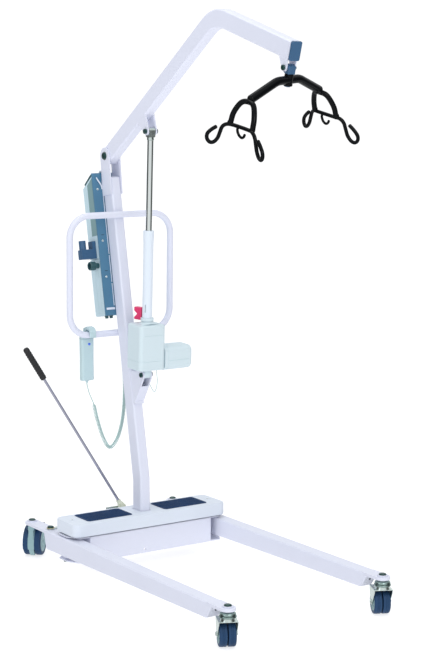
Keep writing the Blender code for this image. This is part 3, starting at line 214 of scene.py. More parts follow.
def loft(rings, closed=False):
    """Skins rings of the same number of points. The first and last are capped, unless it is closed."""
    count = len(rings[0])
    points = [Vector(p) for ring in rings for p in ring]
    faces = []
    spans = len(rings) if closed else len(rings) - 1
    for i in range(spans):
        a, b = i * count, (i + 1) % len(rings) * count
        for j in range(count):
            k = (j + 1) % count
            faces.append((a + j, a + k, b + k, b + j))
    if not closed:
        faces.append(tuple(reversed(range(count))))
        faces.append(tuple(range((len(rings) - 1) * count, len(rings) * count)))
    return points, faces


AXES = {
    "X": lambda a, b, c: (c, a, b),
    "Y": lambda a, b, c: (a, c, b),
    "Z": lambda a, b, c: (a, b, c),
}


def stack(sections, axis="Z", steps=6):
    """A loft through rounded rectangles: (height, low corner, high corner, corner radius)."""
    return loft(
        [
            [AXES[axis](a, b, height) for a, b in rounded(low, high, radius, steps)]
            for height, low, high, radius in sections
        ]
    )


def lathe(profile, base=(0, 0, 0), direction=(0, 0, 1), segments=48):
    """A closed profile of (radius, height) points spun round the line that leaves base."""
    aim = Matrix.Translation(Vector(base)) @ Vector(direction).to_track_quat("Z", "Y").to_matrix().to_4x4()
    points, rings = [], []
    for radius, height in profile:
        if radius < 1e-7:
            rings.append([len(points)])
            points.append(aim @ Vector((0, 0, height)))
            continue
        rings.append(list(range(len(points), len(points) + segments)))
        for i in range(segments):
            angle = math.tau * i / segments
            points.append(aim @ Vector((radius * math.cos(angle), radius * math.sin(angle), height)))
    faces = []
    pairs = list(zip(rings, rings[1:]))
    if len(rings[0]) > 1 or len(rings[-1]) > 1:
        pairs.append((rings[-1], rings[0]))
    for first, second in pairs:
        if len(first) == 1 and len(second) == 1:
            continue
        for i in range(segments):
            k = (i + 1) % segments
            if len(first) == 1:
                faces.append((first[0], second[i], second[k]))
            elif len(second) == 1:
                faces.append((first[i], first[k], second[0]))
            else:
                faces.append((first[i], first[k], second[k], second[i]))
    return points, faces


def sweep(route, radius, segments=20, closed=False, ends=True):
    """A round bar along a route. Its ends are domed, unless ends is False."""
    route = [Vector(p) for p in route]
    count = len(route)
    radii = radius if isinstance(radius, (list, tuple)) else [radius] * count
    tangents = []
    for i in range(count):
        before = route[i - 1] if closed or i else route[0]
        after = route[(i + 1) % count] if closed or i < count - 1 else route[-1]
        tangents.append((after - before).normalized())
    side = tangents[0].orthogonal().normalized()
    sides = []
    for tangent in tangents:
        side = (side - tangent * side.dot(tangent)).normalized()
        sides.append(side)
    if closed:
        last = (sides[-1] - tangents[0] * sides[-1].dot(tangents[0])).normalized()
        slip = math.atan2(last.cross(sides[0]).dot(tangents[0]), last.dot(sides[0]))
        sides = [
            Matrix.Rotation(slip * i / count, 3, tangents[i]) @ s for i, s in enumerate(sides)
        ]

    def ring(centre, tangent, out, r):
        up = tangent.cross(out)
        return [
            centre + (out * math.cos(math.tau * i / segments) + up * math.sin(math.tau * i / segments)) * r
            for i in range(segments)
        ]

    rings = [ring(p, t, s, r) for p, t, s, r in zip(route, tangents, sides, radii)]
    if ends and not closed:
        for angle in (30, 60, 80):
            share, push = math.cos(math.radians(angle)), math.sin(math.radians(angle)) * 0.6
            rings.insert(0, ring(route[0] - tangents[0] * radii[0] * push, tangents[0], sides[0], radii[0] * share))
            rings.append(
                ring(route[-1] + tangents[-1] * radii[-1] * push, tangents[-1], sides[-1], radii[-1] * share)
            )
    return loft(rings, closed)


def slab(outline, low, high, axis="Y", bevel=0.001, segments=3):
    """A flat outline pushed from low to high, with its edges rounded."""
    shape = bmesh.new()
    bottom = [shape.verts.new(AXES[axis](a, b, low)) for a, b in outline]
    top = [shape.verts.new(AXES[axis](a, b, high)) for a, b in outline]
    shape.faces.new(bottom[::-1])
    shape.faces.new(top)
    for i in range(len(outline)):
        k = (i + 1) % len(outline)
        shape.faces.new((bottom[i], bottom[k], top[k], top[i]))
    round_edges(shape, bevel, segments)
    shape.verts.index_update()
    made = [v.co.copy() for v in shape.verts], [tuple(v.index for v in f.verts) for f in shape.faces]
    shape.free()
    return made


def round_edges(shape, width, segments, angle=28):
    shape.normal_update()
    bmesh.ops.recalc_face_normals(shape, faces=shape.faces)
    sharp = [e for e in shape.edges if len(e.link_faces) == 2 and e.calc_face_angle(0) > math.radians(angle)]
    if width and sharp:
        bmesh.ops.bevel(
            shape,
            geom=sharp,
            offset=width,
            offset_type="OFFSET",
            segments=segments,
            profile=0.5,
            affect="EDGES",
            clamp_overlap=True,
        )


def brick(low, high, bevel=0.001, segments=3):
    outline = [(low[0], low[1]), (high[0], low[1]), (high[0], high[1]), (low[0], high[1])]
    return slab(outline, low[2], high[2], "Z", bevel, segments)


def moved(shape, matrix):
    return [matrix @ Vector(p) for p in shape[0]], shape[1]


# ---------------------------------------------------------------- pieces


SMOOTH_ANGLE = math.radians(38)


def show(mesh, name, finish):
    """A mesh as an object, its materials in the order of its faces' indices."""
    for look in finish if isinstance(finish, (list, tuple)) else [finish]:
        mesh.materials.append(look)
    mesh.shade_smooth()
    mesh.set_sharp_from_angle(angle=SMOOTH_ANGLE)
    made = bpy.data.objects.new(name, mesh)
    bpy.context.scene.collection.objects.link(made)
    even = made.modifiers.new("even_normals", "WEIGHTED_NORMAL")
    even.keep_sharp = True
    return made


def piece(name, shapes, place, finish, node, replaces=()):
    """A piece of one or more shapes, placed by a matrix, that rides with a CAD node."""
    shape = bmesh.new()
    for points, faces in shapes:
        verts = [shape.verts.new(place @ Vector(p)) for p in points]
        for face in faces:
            shape.faces.new([verts[i] for i in face])
    bmesh.ops.recalc_face_normals(shape, faces=shape.faces)
    mesh = bpy.data.meshes.new(name)
    shape.to_mesh(mesh)
    shape.free()
    made = show(mesh, name, finish)
    return adopt(made, node, replaces)


def adopt(made, node, replaces=()):
    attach(made, body_of[node])
    if replaces:
        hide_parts(*replaces)
    return made


def refined(node, finish, width=0.0012, segments=3, regions=(), cuts=()):
    """A CAD node's own shape with its edges rounded off, and other finishes in some regions of it.

    The cuts are planes, each a point and a normal, that part its faces where a finish ends.
    """
    shape = bmesh.new()
    shape.from_mesh(nodes[node].data)
    bmesh.ops.remove_doubles(shape, verts=shape.verts, dist=2e-5)
    bmesh.ops.dissolve_limit(
        shape, angle_limit=math.radians(0.8), verts=shape.verts[:], edges=shape.edges[:]
    )
    round_edges(shape, width, segments)
    for point, normal in cuts:
        everything = [*shape.verts, *shape.edges, *shape.faces]
        bmesh.ops.bisect_plane(shape, geom=everything, plane_co=point, plane_no=normal)
    placed = nodes[node].matrix_world.copy()
    for face in shape.faces:
        face.material_index = 0
        centre, corners = placed @ face.calc_center_median(), [placed @ v.co for v in face.verts]
        for index, (inside, _) in enumerate(regions):
            if inside(centre, corners):
                face.material_index = index + 1
    mesh = bpy.data.meshes.new(node)
    shape.to_mesh(mesh)
    shape.free()
    made = show(mesh, f"{node}_body", [finish, *[look for _, look in regions]])
    return adopt(made, node, [node])


# ---------------------------------------------------------------- cords


def curved_route(knots, per_span):
    knots = [Vector(k) for k in knots]
    ends = [knots[0] * 2 - knots[1], *knots, knots[-1] * 2 - knots[-2]]
    route = []
    for a, b, c, d in zip(ends, ends[1:], ends[2:], ends[3:]):
        for i in range(per_span):
            t = i / per_span
            route.append(
                (b * 2 + (c - a) * t + (a * 2 - b * 5 + c * 4 - d) * t**2 + (b * 3 - a - c * 3 + d) * t**3) / 2
            )
    return [*route, knots[-1]]


def even_route(route, step):
    """The same route with its points a step apart."""
    made, spare = [route[0]], 0.0
    for a, b in zip(route, route[1:]):
        length = (b - a).length
        at = step - spare
        while at <= length:
            made.append(a.lerp(b, at / length))
            at += step
        spare = length - (at - step)
    return made


def cord_curve(name, route, diameter, finish):
    data = bpy.data.curves.new(name, "CURVE")
    data.dimensions = "3D"
    data.bevel_depth = diameter / 2
    data.bevel_resolution = 3
    data.use_fill_caps = True
    spline = data.splines.new("POLY")
    spline.points.add(len(route) - 1)
    for place, point in zip(spline.points, route):
        place.co = (*point, 1.0)
    data.materials.append(finish)
    made = bpy.data.objects.new(name, data)
    bpy.context.scene.collection.objects.link(made)
    return made


CORD_DIAMETER = 0.0034
COIL_PITCH = 0.0050
COIL_TURN_RADIUS = 0.0053
LEAD_KNOTS = [
    (0.1010, -0.125, 0.6387), (0.1030, -0.1255, 0.622), (0.1090, -0.1190, 0.590), (0.1150, -0.1072, 0.5575)
]
COIL_KNOTS = [
    (0.1150, -0.1068, 0.5560), (0.1220, -0.0970, 0.5000), (0.1360, -0.0800, 0.4300), (0.1430, -0.0560, 0.3960),
    (0.1430, -0.0240, 0.4300), (0.1390, 0.0010, 0.5100), (0.1230, 0.0170, 0.6150), (0.1050, 0.0200, 0.7200),
    (0.0960, 0.0200, 0.8000), (0.0964, 0.0200, 0.8359),
]
lead_route = curved_route(LEAD_KNOTS, 6)
coil_axis = even_route(curved_route(COIL_KNOTS, 24), COIL_PITCH / 16)
across = Vector((1, 0, 0))
coil_route = []
for index, (before, here, after) in enumerate(zip(coil_axis, coil_axis[1:], coil_axis[2:])):
    along = (after - before).normalized()
    across = (across - along * across.dot(along)).normalized()
    upward = along.cross(across)
    nearest_end = min(index, len(coil_axis) - 3 - index)
    reach = COIL_TURN_RADIUS * min(1.0, nearest_end / 32)
    angle = math.tau * index / 16
    coil_route.append(here + (across * math.cos(angle) + upward * math.sin(angle)) * reach)
handset_route = [HOIST @ p for p in [*lead_route[:-1], *coil_route]]
handset_cord = cord_curve("handset_cord", handset_route, CORD_DIAMETER, CORD)
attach(handset_cord, "base")
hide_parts("handset_cord_lead", "handset_cord_coil")


def from_foot(x, y, z):
    return turn(2.57, "Y").to_3x3() @ Vector((x, y, z)) + ACTUATOR_FOOT


motor_route = [
    HOIST @ p
    for p in curved_route(
        [
            from_foot(0.022, 0.030, 0.0215), from_foot(0.022, 0.030, 0.0080), (0.3220, 0.0310, 0.6500),
            (0.3120, 0.0300, 0.6180), (0.2980, 0.0290, 0.6150), (0.2750, 0.0250, 0.6400), (0.2560, 0.0190, 0.6480),
        ],
        8,
    )
]
motor_cord = cord_curve("motor_cord", motor_route, 0.0024, CORD)
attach(motor_cord, "base")
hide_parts("motor_lead")


# ---------------------------------------------------------------- casters


def wheel(name, place, centre, way, radius, inner, outer, node, side_finish):
    """One wheel of a twin caster: a grooved tyre and a dished side disc."""
    width = outer - inner
    hub = radius * 0.74

    def groove(at):
        return [
            (radius, inner + width * at),
            (radius - 0.0008, inner + width * at + 0.0006),
            (radius - 0.0008, inner + width * at + 0.0014),
            (radius, inner + width * at + 0.0020),
        ]

    shoulder = arc((outer - 0.0058, radius - 0.0060), 0.0058, 90, 0, 6)
    tyre = [
        (0.0046, inner + 0.0004),
        (radius * 0.55, inner + 0.0004),
        (radius - 0.0030, inner),
        (radius - 0.0008, inner + 0.0010),
        (radius, inner + 0.0030),
        *groove(0.34),
        *groove(0.54),
        *[(r, t) for t, r in shoulder],
        (hub + 0.0012, outer - 0.0003),
        (hub, outer - 0.0012),
        (hub, outer - 0.0045),
        (0.0046, outer - 0.0045),
    ]
    disc = [
        (0.0045, outer - 0.0044),
        (hub - 0.0002, outer - 0.0044),
        (hub - 0.0002, outer - 0.0014),
        (hub - 0.0012, outer - 0.0004),
        (hub * 0.86, outer - 0.0004),
        (hub * 0.82, outer - 0.0018),
        (hub * 0.50, outer - 0.0026),
        (hub * 0.44, outer - 0.0006),
        (hub * 0.30, outer - 0.0004),
        (hub * 0.26, outer - 0.0016),
        (0.0045, outer - 0.0016),
    ]
    piece(f"{name}_tyre", [lathe(tyre, centre, (0, way, 0), 56)], place, TYRE, node, [node])
    spokes = []
    for i in range(5):
        spin = shift(*centre) @ turn(72 * i, "Y") @ shift(*[-c for c in centre])
        low_y, high_y = sorted((way * (outer - 0.0030), way * (outer - 0.0008)))
        spoke = brick(
            (centre[0] - 0.0016, low_y, centre[2] + hub * 0.42),
            (centre[0] + 0.0016, high_y, centre[2] + hub * 0.84),
            0.0005,
            2,
        )
        spokes.append(moved(spoke, spin))
    piece(f"{name}_disc", [lathe(disc, centre, (0, way, 0), 48), *spokes], place, side_finish, node)


STEM_CAP = 0.1343


WEB_EDGE = 0.0115


def between_wheels(place):
    """Faces of a caster's hood that lie between the two wheels."""
    seen = place.inverted()
    return lambda centre, corners: all(abs((seen @ c).y) < WEB_EDGE + 0.0004 for c in corners)


def over(height):
    return lambda centre, corners: centre.z > height


for side, way_y in (("right", -1), ("left", 1)):
    for end, stem_x, angle, trail, radius, inner, outer in (
        ("rear", 0.0, 137, 0.030, 0.050, 0.0093, 0.0325),
        ("front", 1.241, 154, 0.025, 0.040, 0.0015, 0.0265),
    ):
        place = HOIST @ shift(stem_x, way_y * LEG_Y, 0) @ turn(angle, "Z")
        caster = f"{end}_{side}"
        for label, way in (("a", -1), ("b", 1)):
            node = f"{caster}_wheel_{label}"
            wheel(node, place, (trail, 0, radius), way, radius, inner, outer, node, HOOD if end == "rear" else DISC)
        if end == "rear":
            cuts = [(place @ Vector((0, way * WEB_EDGE, 0)), place.to_3x3() @ Vector((0, 1, 0))) for way in (-1, 1)]
            refined(
                f"{caster}_hood", TYRE, 0.0016, 3, [(between_wheels(place), HOOD), (over(STEM_CAP), DARK_STEEL)],
                cuts
            )
            refined(f"{caster}_pedal", TEAL, 0.0007, 2)
            grip_ribs = [
                brick(
                    (x, -0.0165, 0.0986 + (0.104 - x) * 0.05), (x + 0.0012, 0.0165, 0.0994 + (0.104 - x) * 0.05),
                    0.0003, 1
                )
                for x in (0.092, 0.096, 0.100, 0.104, 0.108)
            ]
            piece(f"{caster}_pedal_ribs", grip_ribs, place, TEAL, f"{caster}_pedal")
            lip = [
                moved(
                    sweep([(0.0, -0.0295, 0), (0.0, 0.0295, 0)], 0.0011, 10),
                    shift(trail, 0, radius) @ turn(-a, "Y") @ shift(0.0550, 0, 0)
                )
                for a in (26, 199)
            ]
            piece(f"{caster}_hood_lips", lip, place, TYRE, f"{caster}_hood")
        else:
            lobe = arc((trail, radius), 0.010, 200, 340, 12)
            cheek = [(-0.020, 0.0885), (-0.016, 0.076), *lobe, (0.050, 0.076), (0.052, 0.0885)]
            cone = [
                (0, 0.0878), (
                    0.0235, 0.0878
                ), (0.0240, 0.0890), (0.0200, 0.0990), (0.0158, 0.1170), (0.0150, 0.1196), (0, 0.1196),
            ]
            fork = [
                slab(cheek, 0.0279, 0.0302, "Y", 0.0008, 3),
                slab(cheek, -0.0302, -0.0279, "Y", 0.0008, 3),
                brick((-0.0195, -0.0298, 0.0864), (0.0515, 0.0298, 0.0886), 0.0009, 3),
                lathe(cone),
                lathe([(0, 0.110), (0.006, 0.110), (0.006, 0.1336), (0, 0.1336)], segments=24),
                sweep([(trail, -0.0300, radius), (trail, 0.0300, radius)], 0.004, 16),
            ]
            piece(f"{caster}_frame", fork, place, ZINC, f"{caster}_fork", [f"{caster}_fork"])
            cap = [
                (0, STEM_CAP), (0.0120, STEM_CAP), (0.0120, 0.1362), (0.0112, 0.1378), (0.0085, 0.1388), (0, 0.1389)
            ]
            piece(f"{caster}_stem_cap", [lathe(cap)], place, DARK_STEEL, f"{caster}_fork")
            race = [
                (0.0165, 0.0990), (0.0262, 0.0990), (0.0272, 0.1005), (0.0272, 0.1028), (0.0262, 0.1045),
                (0.0235, 0.1052), (0.0255, 0.1068), (0.0250, 0.1110), (0.0215, 0.1150), (0.0165, 0.1170),
            ]
            piece(f"{caster}_bearing", [lathe(race, (0, 0, 0))], place, STEEL, f"{caster}_fork")
            nuts = [
                lathe(
                    [(0, 0.0303), (0.0070, 0.0303), (0.0070, 0.0330), (0.0058, 0.0342), (0, 0.0342)],
                    (trail, 0, radius), (0, way, 0), 24
                )
                for way in (-1, 1)
            ]
            piece(f"{caster}_axle_nuts", nuts, place, ZINC, f"{caster}_fork")


# ---------------------------------------------------------------- bolts


def socket_head(radius, low, high):
    """The profile of a domed bolt head with a round socket."""
    rim = min(0.0012, (high - low) * 0.3)
    return [
        (0, low),
        (radius, low),
        (radius, high - rim),
        (radius - rim, high - rim * 0.3),
        (radius * 0.62, high),
        (radius * 0.50, high),
        (radius * 0.44, high - 0.0022),
        (0, high - 0.0022),
    ]


def bolt(name, place, centre, shank, near, far, head, node, replaces=(), finish=DARK_STEEL):
    """A bolt across the object: its heads are at -near and at far along Y, and (radius, height)."""
    radius, height = head
    shapes = [
        lathe([(0, -near), (shank, -near), (shank, far), (0, far)], centre, (0, 1, 0), 32),
        lathe(socket_head(radius, near, near + height), centre, (0, -1, 0), 32),
        lathe(socket_head(radius, far, far + height), centre, (0, 1, 0), 6),
    ]
    piece(name, shapes, place, finish, node, replaces)


bolt(
    "boom_bolt", HOIST, BOOM_PIVOT, 0.008, 0.0243, 0.0243, (0.0118, 0.0056), "boom_pivot_bolt", ["boom_pivot_bolt"]
)
bolt(
    "foot_bolt", HOIST, ACTUATOR_FOOT, 0.005, 0.0184, 0.0184, (0.0084, 0.0066), "actuator_foot_bolt",
    ["actuator_foot_bolt"]
)
bolt("swivel_bolt", HANGER, (0, 0, 0), 0.005, 0.0189, 0.0189, (0.0084, 0.0062), "hanger_bolt", ["hanger_bolt"])
washers = [
    lathe(
        [(0.0082, 0.02403), (0.0150, 0.02403), (0.0150, 0.0242), (0.0146, 0.02428), (0.0082, 0.02428)], BOOM_PIVOT,
        (0, way, 0)
    )
    for way in (-1, 1)
]
piece("boom_bolt_washers", washers, HOIST, ZINC, "boom_pivot_bolt")


# ---------------------------------------------------------------- legs, base and cover


for side, way_y in (("right", -1), ("left", 1)):
    refined(f"leg_{side}", PAINT, 0.0015, 3)
    centre = (0.137, way_y * LEG_Y, 0)
    collar = [(0.0116, 0.13432), (0.0142, 0.13432), (0.0142, 0.1352), (0.0136, 0.1358), (0.0116, 0.1358)]
    piece(f"leg_{side}_tie_washer", [lathe(collar, centre)], HOIST, BRASS, f"leg_{side}")
    cap = [(0, 0.1341), (0.0112, 0.1341), (0.0112, 0.1392), (0.0100, 0.1408), (0.0070, 0.1418), (0, 0.1420)]
    piece(f"leg_{side}_tie_cap", [lathe(cap, centre, segments=32)], HOIST, DARK_STEEL, f"leg_{side}")
    refined(f"leg_pivot_{side}", STEEL, 0.0008, 2)
    refined(f"tie_rod_{side}", ZINC, 0.0006, 2)

refined("base_beam", PAINT, 0.0015, 3)
refined("base_cover", SHELL, 0.0018, 3)

for side, way_y in (("right", -1), ("left", 1)):
    near, far = sorted((way_y * 0.066, way_y * 0.246))
    rim_low, rim_high = (0.2106, near), (0.315, far)
    ribs = []
    rib_count = 17
    for i in range(rib_count):
        x = rim_low[0] + 0.008 + i * (rim_high[0] - rim_low[0] - 0.016) / (rib_count - 1)
        ribs.append(brick((x - 0.0016, near + 0.008, 0.1887), (x + 0.0016, far - 0.008, 0.1897), 0.0005, 2))
    base = stack(
        [
            (0.1873, rim_low, rim_high, 0.010),
            (0.1884, rim_low, rim_high, 0.010),
            (0.1890, (rim_low[0] + 0.0006, near + 0.0006), (rim_high[0] - 0.0006, far - 0.0006), 0.0096),
        ]
    )
    piece(f"tread_{side}", [base, *ribs], HOIST, NAVY, f"foot_pad_{side}", [f"foot_pad_{side}"])
    recess = [
        (0.0042, 0.1870), (0.0098, 0.1870), (0.0098, 0.1876), (0.0090, 0.1880), (0.0050, 0.1880), (0.0042, 0.1876)
    ]
    piece(f"cover_cap_{side}", [lathe(recess, (0.262, way_y * 0.281, 0))], HOIST, SHELL, "base_cover")
    screw = [
        (0, 0.1866), (0.0041, 0.1866), (0.0041, 0.1876), (0.0030, 0.1880), (0.0014, 0.1880), (0.0010, 0.1872),
        (0, 0.1872)
    ]
    piece(f"cover_screw_{side}", [lathe(screw, (0.262, way_y * 0.281, 0), segments=24)], HOIST, ZINC, "base_cover")


# ---------------------------------------------------------------- mast, boom and handle

refined("mast", PAINT, 0.0016, 3)
refined("actuator_bracket", PAINT, 0.0008, 2)


ROD_PIN = Vector((0.336, 0, 1.520))


def rod_bolt(centre, corners):
    """The heads of the piston rod's bolt, on the outside of the boom's lug."""
    seen = HOIST.inverted() @ centre
    return abs(seen.y) > 0.0187 and (Vector((seen.x, seen.z)) - ROD_PIN.xz).length < 0.0100


refined("boom", PAINT, 0.0016, 3, [(rod_bolt, DARK_STEEL)])
refined("boom_end_cap", DEEP_BLUE, 0.0008, 3)
refined("hanger_block", DEEP_BLUE, 0.0010, 3)


def round_corners(corners, radius, steps, closed=True):
    corners = [Vector(c) for c in corners]
    route, count = [], len(corners)
    for index, corner in enumerate(corners):
        if not closed and index in (0, count - 1):
            route.append(corner)
            continue
        before = (corners[index - 1] - corner).normalized()
        ahead = (corners[(index + 1) % count] - corner).normalized()
        half = before.angle(ahead) / 2
        middle = corner + (before + ahead).normalized() * radius / math.sin(half)
        start = (corner + before * radius / math.tan(half) - middle).normalized()
        end = (corner + ahead * radius / math.tan(half) - middle).normalized()
        route += [middle + start.slerp(end, i / steps) * radius for i in range(steps + 1)]
    return route


handle_corners = [
    (0.1266, -0.206, 0.8046), (0.1266, 0.206, 0.8046), (0.1345, 0.206, 1.2245), (0.1345, -0.206, 1.2245)
]
handle = sweep(round_corners(handle_corners, 0.075, 14), 0.0115, 32, closed=True)
piece("handle_tube", [handle], HOIST, PAINT, "push_handle", ["push_handle"])


def mast_face(z, front):
    return 0.2625 - (z - 0.2972) * math.tan(math.radians(MAST_LEAN)) + (0.0305 if front else -0.0305)


welds = []
for z, front, x in ((0.8046, False, 0.1266), (1.2245, True, 0.1345)):
    for up in (-1, 1):
        z_weld = z + up * 0.0072
        at = mast_face(z_weld, front) + (0.0012 if front else -0.0012)
        ripple = [0.0019 + 0.0004 * (i % 2) for i in range(25)]
        welds.append(sweep([(at, -0.0165 + i * 0.001375, z_weld) for i in range(25)], ripple, 10))
piece("handle_welds", welds, HOIST, PAINT, "mast")


# ---------------------------------------------------------------- spreader bar

BAR_Z, HALF_LENGTH, END_DROP = -0.036, 0.172, 0.045
bar_route = round_corners(
    [
        (0, -HALF_LENGTH, BAR_Z - END_DROP), (0, -0.055, BAR_Z), (0, 0.055, BAR_Z),
        (0, HALF_LENGTH, BAR_Z - END_DROP)
    ],
    0.080,
    10,
    closed=False,
)
sleeve = [
    (
        0.0074, -0.0177
    ), (0.0132, -0.0177), (0.0140, -0.0185), (0.0140, -0.0462), (0.0148, -0.0468), (0.0154, -0.0476),
    (0.0154, -0.0526), (0.0146, -0.0532), (0.0074, -0.0532),
]
piece(
    "spreader_tube",
    [sweep(bar_route, 0.0134, 32), lathe(sleeve, segments=40)],
    SPREADER,
    BLACK,
    "spreader_bar",
    ["spreader_bar"],
)


def side_frame(name, way):
    top_z, low_z = BAR_Z - END_DROP - 0.008, BAR_Z - 0.124
    half_width, flare, lean, splay = 0.042, 0.042, 0.012, 0.40
    low_y = HALF_LENGTH + flare

    def leaning(x, y, z):
        return Vector((x + lean * (top_z - z) / (top_z - low_z), way * y, z))

    half_u = [
        (half_width * 0.55, HALF_LENGTH + 0.014, top_z - 0.006),
        (half_width * 0.92, HALF_LENGTH + flare * 0.72, low_z + 0.034),
        (half_width, low_y, low_z),
    ]
    knots = [leaning(-x, y, z) for x, y, z in half_u[::-1]]
    knots += [leaning(0, HALF_LENGTH + 0.006, top_z)]
    knots += [leaning(x, y, z) for x, y, z in half_u]
    end_hook = [
        (0.030, 0.0), (0.050, -0.002), (0.062, -0.012), (0.068, -0.028), (0.075, -0.048), (0.086, -0.062),
        (0.098, -0.065), (0.106, -0.056), (0.105, -0.042), (0.094, -0.028), (0.080, -0.016),
    ]
    wire = [(-x, z) for x, z in reversed(end_hook)] + end_hook
    wire_knots = [leaning(x, low_y + splay * max(0, abs(x) - 0.030), low_z + z) for x, z in wire]
    middle = [(-0.012, 0.0), (-0.014, -0.012), (-0.008, -0.024), (0.002, -0.029), (0.010, -0.025), (0.014, -0.017)]
    middle_knots = [leaning(x, low_y, low_z + z) for x, z in middle]
    collars = [
        lathe(
            [
                (0.0055, -0.0050), (0.0084, -0.0046), (0.0092, -0.0012), (0.0092, 0.0016), (0.0085, 0.0052),
                (0.0055, 0.0056)
            ],
            leaning(x, low_y, low_z + 0.004),
            (0, -way * 0.3, 1),
            24,
        )
        for x in (-half_width, half_width)
    ]
    shapes = [
        sweep(curved_route(knots, 10), 0.0085, 24),
        sweep(curved_route(wire_knots, 6), 0.0060, 18),
        sweep(curved_route(middle_knots, 8), 0.0042, 14),
        *collars,
    ]
    piece(f"{name}_wire", shapes, SPREADER, BLACK, name, [name])


side_frame("side_frame_right", -1)
side_frame("side_frame_left", 1)


# ---------------------------------------------------------------- actuator

GEAR_LOW, GEAR_HIGH, GEAR_CORNER = (-0.060, -0.046), (0.034, 0.0580), 0.014


def gear_section(height, inset, corner=None):
    low = tuple(c + inset for c in GEAR_LOW)
    high = tuple(c - inset for c in GEAR_HIGH)
    return height, low, high, corner or max(0.004, GEAR_CORNER - inset)


def collar_section(height, radius):
    return height, (-radius, -radius), (radius, radius), radius - 1e-5


gear_sections = [
    gear_section(0.0190, 0.0040),
    gear_section(0.0196, 0.0018),
    gear_section(0.0212, 0.0004),
    gear_section(0.0240, 0.0),
    gear_section(0.0508, 0.0),
    gear_section(0.0512, 0.0009),
    gear_section(0.0524, 0.0009),
    gear_section(0.0528, 0.0),
    gear_section(0.1700, 0.0),
    gear_section(0.1740, 0.0006),
    gear_section(0.1768, 0.0026),
    gear_section(0.1784, 0.0060),
    gear_section(0.1800, 0.0150),
    collar_section(0.1830, 0.0262),
    collar_section(0.1860, 0.0226),
    collar_section(0.1885, 0.0206),
    collar_section(0.1899, 0.0196),
]
lug = [*arc((0, 0), 0.0125, 180, 360, 14), (0.0125, 0.022), (-0.0125, 0.022)]
piece(
    "gear_case",
    [stack(gear_sections, "Z", 8), slab(lug, -0.0130, 0.0130, "Y", 0.0010, 3)],
    ACTUATOR,
    HOUSING,
    "gear_housing",
    ["gear_housing"],
)
vents = [
    brick(
        (-0.0606, -0.020 + i * 0.0075, 0.120), (-0.0592, -0.0165 + i * 0.0075, 0.150), 0.0004, 2
    ) for i in range(6)
]
piece("gear_vents", vents, ACTUATOR, PALE, "gear_housing")


def motor_section(depth, inset, corner=0.020):
    return depth, (-0.052 + inset, 0.014 + inset), (0.032 - inset, 0.098 - inset), corner - inset * 0.6


motor_sections = [
    motor_section(0.0578, 0.0),
    motor_section(0.0590, 0.0),
    motor_section(0.0700, 0.0),
    motor_section(0.0704, 0.0008),
    motor_section(0.0714, 0.0008),
    motor_section(0.0718, 0.0),
    motor_section(0.1600, 0.0004),
    motor_section(0.1655, 0.0016),
    motor_section(0.1690, 0.0042),
    motor_section(0.1707, 0.0080),
    motor_section(0.1709, 0.0130),
]
piece("motor_case", [stack(motor_sections, "Y", 8)], ACTUATOR, HOUSING, "motor_housing", ["motor_housing"])
motor_band = [
    brick((0.0312, 0.073, 0.0480), (0.0324, 0.158, 0.0492), 0.0004, 2),
    brick((0.0336, -0.030, 0.1420), (0.0344, 0.044, 0.1430), 0.0003, 2),
]
piece("motor_seam", motor_band, ACTUATOR, PALE, "motor_housing")

tube = [
    (0.0113, 0.1755), (0.0174, 0.1755), (0.0174, 0.2005), (0.01745, 0.4620), (0.0180, 0.4700), (0.0187, 0.4780),
    (0.0189, 0.4840), (0.0189, 0.5040), (0.0182, 0.5058), (0.0150, 0.5064), (0.0140, 0.5064), (0.0136, 0.5050),
    (0.0113, 0.5050),
]
piece("actuator_sleeve", [lathe(tube, segments=64)], ACTUATOR, SLEEVE, "actuator_tube", ["actuator_tube"])
mark = Matrix.Rotation(math.radians(-34), 4, "Z")
plate = slab(rounded((-0.0050, 0.2160), (0.0050, 0.2560), 0.0045, 5), -0.0176, -0.0169, "Y", 0.0003, 2)
piece("sleeve_badge", [moved(plate, mark @ turn(68, "Z"))], ACTUATOR, SLEEVE, "actuator_tube")
slot_mark = slab(rounded((-0.0010, 0.2220), (0.0010, 0.2500), 0.0009, 3), -0.0179, -0.0172, "Y", 0.0002, 1)
piece("sleeve_slot", [moved(slot_mark, mark @ turn(68, "Z"))], ACTUATOR, TEAL, "actuator_tube")

ROD_TOP = 0.8459 - 0.030
rod = [(0, 0.4716), (0.0110, 0.4716), (0.0110, ROD_TOP - 0.0012), (0.0100, ROD_TOP - 0.0001), (0, ROD_TOP - 0.0001)]
piece("piston_rod", [lathe(rod, segments=64)], ACTUATOR, CHROME, "actuator_rod", ["actuator_rod"])
refined("rod_end", ZINC, 0.0008, 3)
CLIP = ACTUATOR @ turn(20, "Z")
clip_side = [
    (
        -0.0205, 0.1918
    ), (-0.0500, 0.1918), (-0.0520, 0.1990), (-0.0385, 0.2120), (-0.0520, 0.2230), (-0.0510, 0.2360), (-0.0205, 0.2360),
]
piece(
    "clip_wing", [slab(clip_side, -0.0095, 0.0095, "Y", 0.0018, 3)], CLIP, RED, "lowering_clip", ["lowering_clip"]
)
ring = [(0.0179, 0.1916), (0.0222, 0.1916), (0.0228, 0.1924), (0.0228, 0.2012), (0.0220, 0.2019), (0.0179, 0.2019)]
piece("clip_ring", [lathe(ring)], ACTUATOR, HOUSING, "lowering_clip")


# ---------------------------------------------------------------- spreading lever

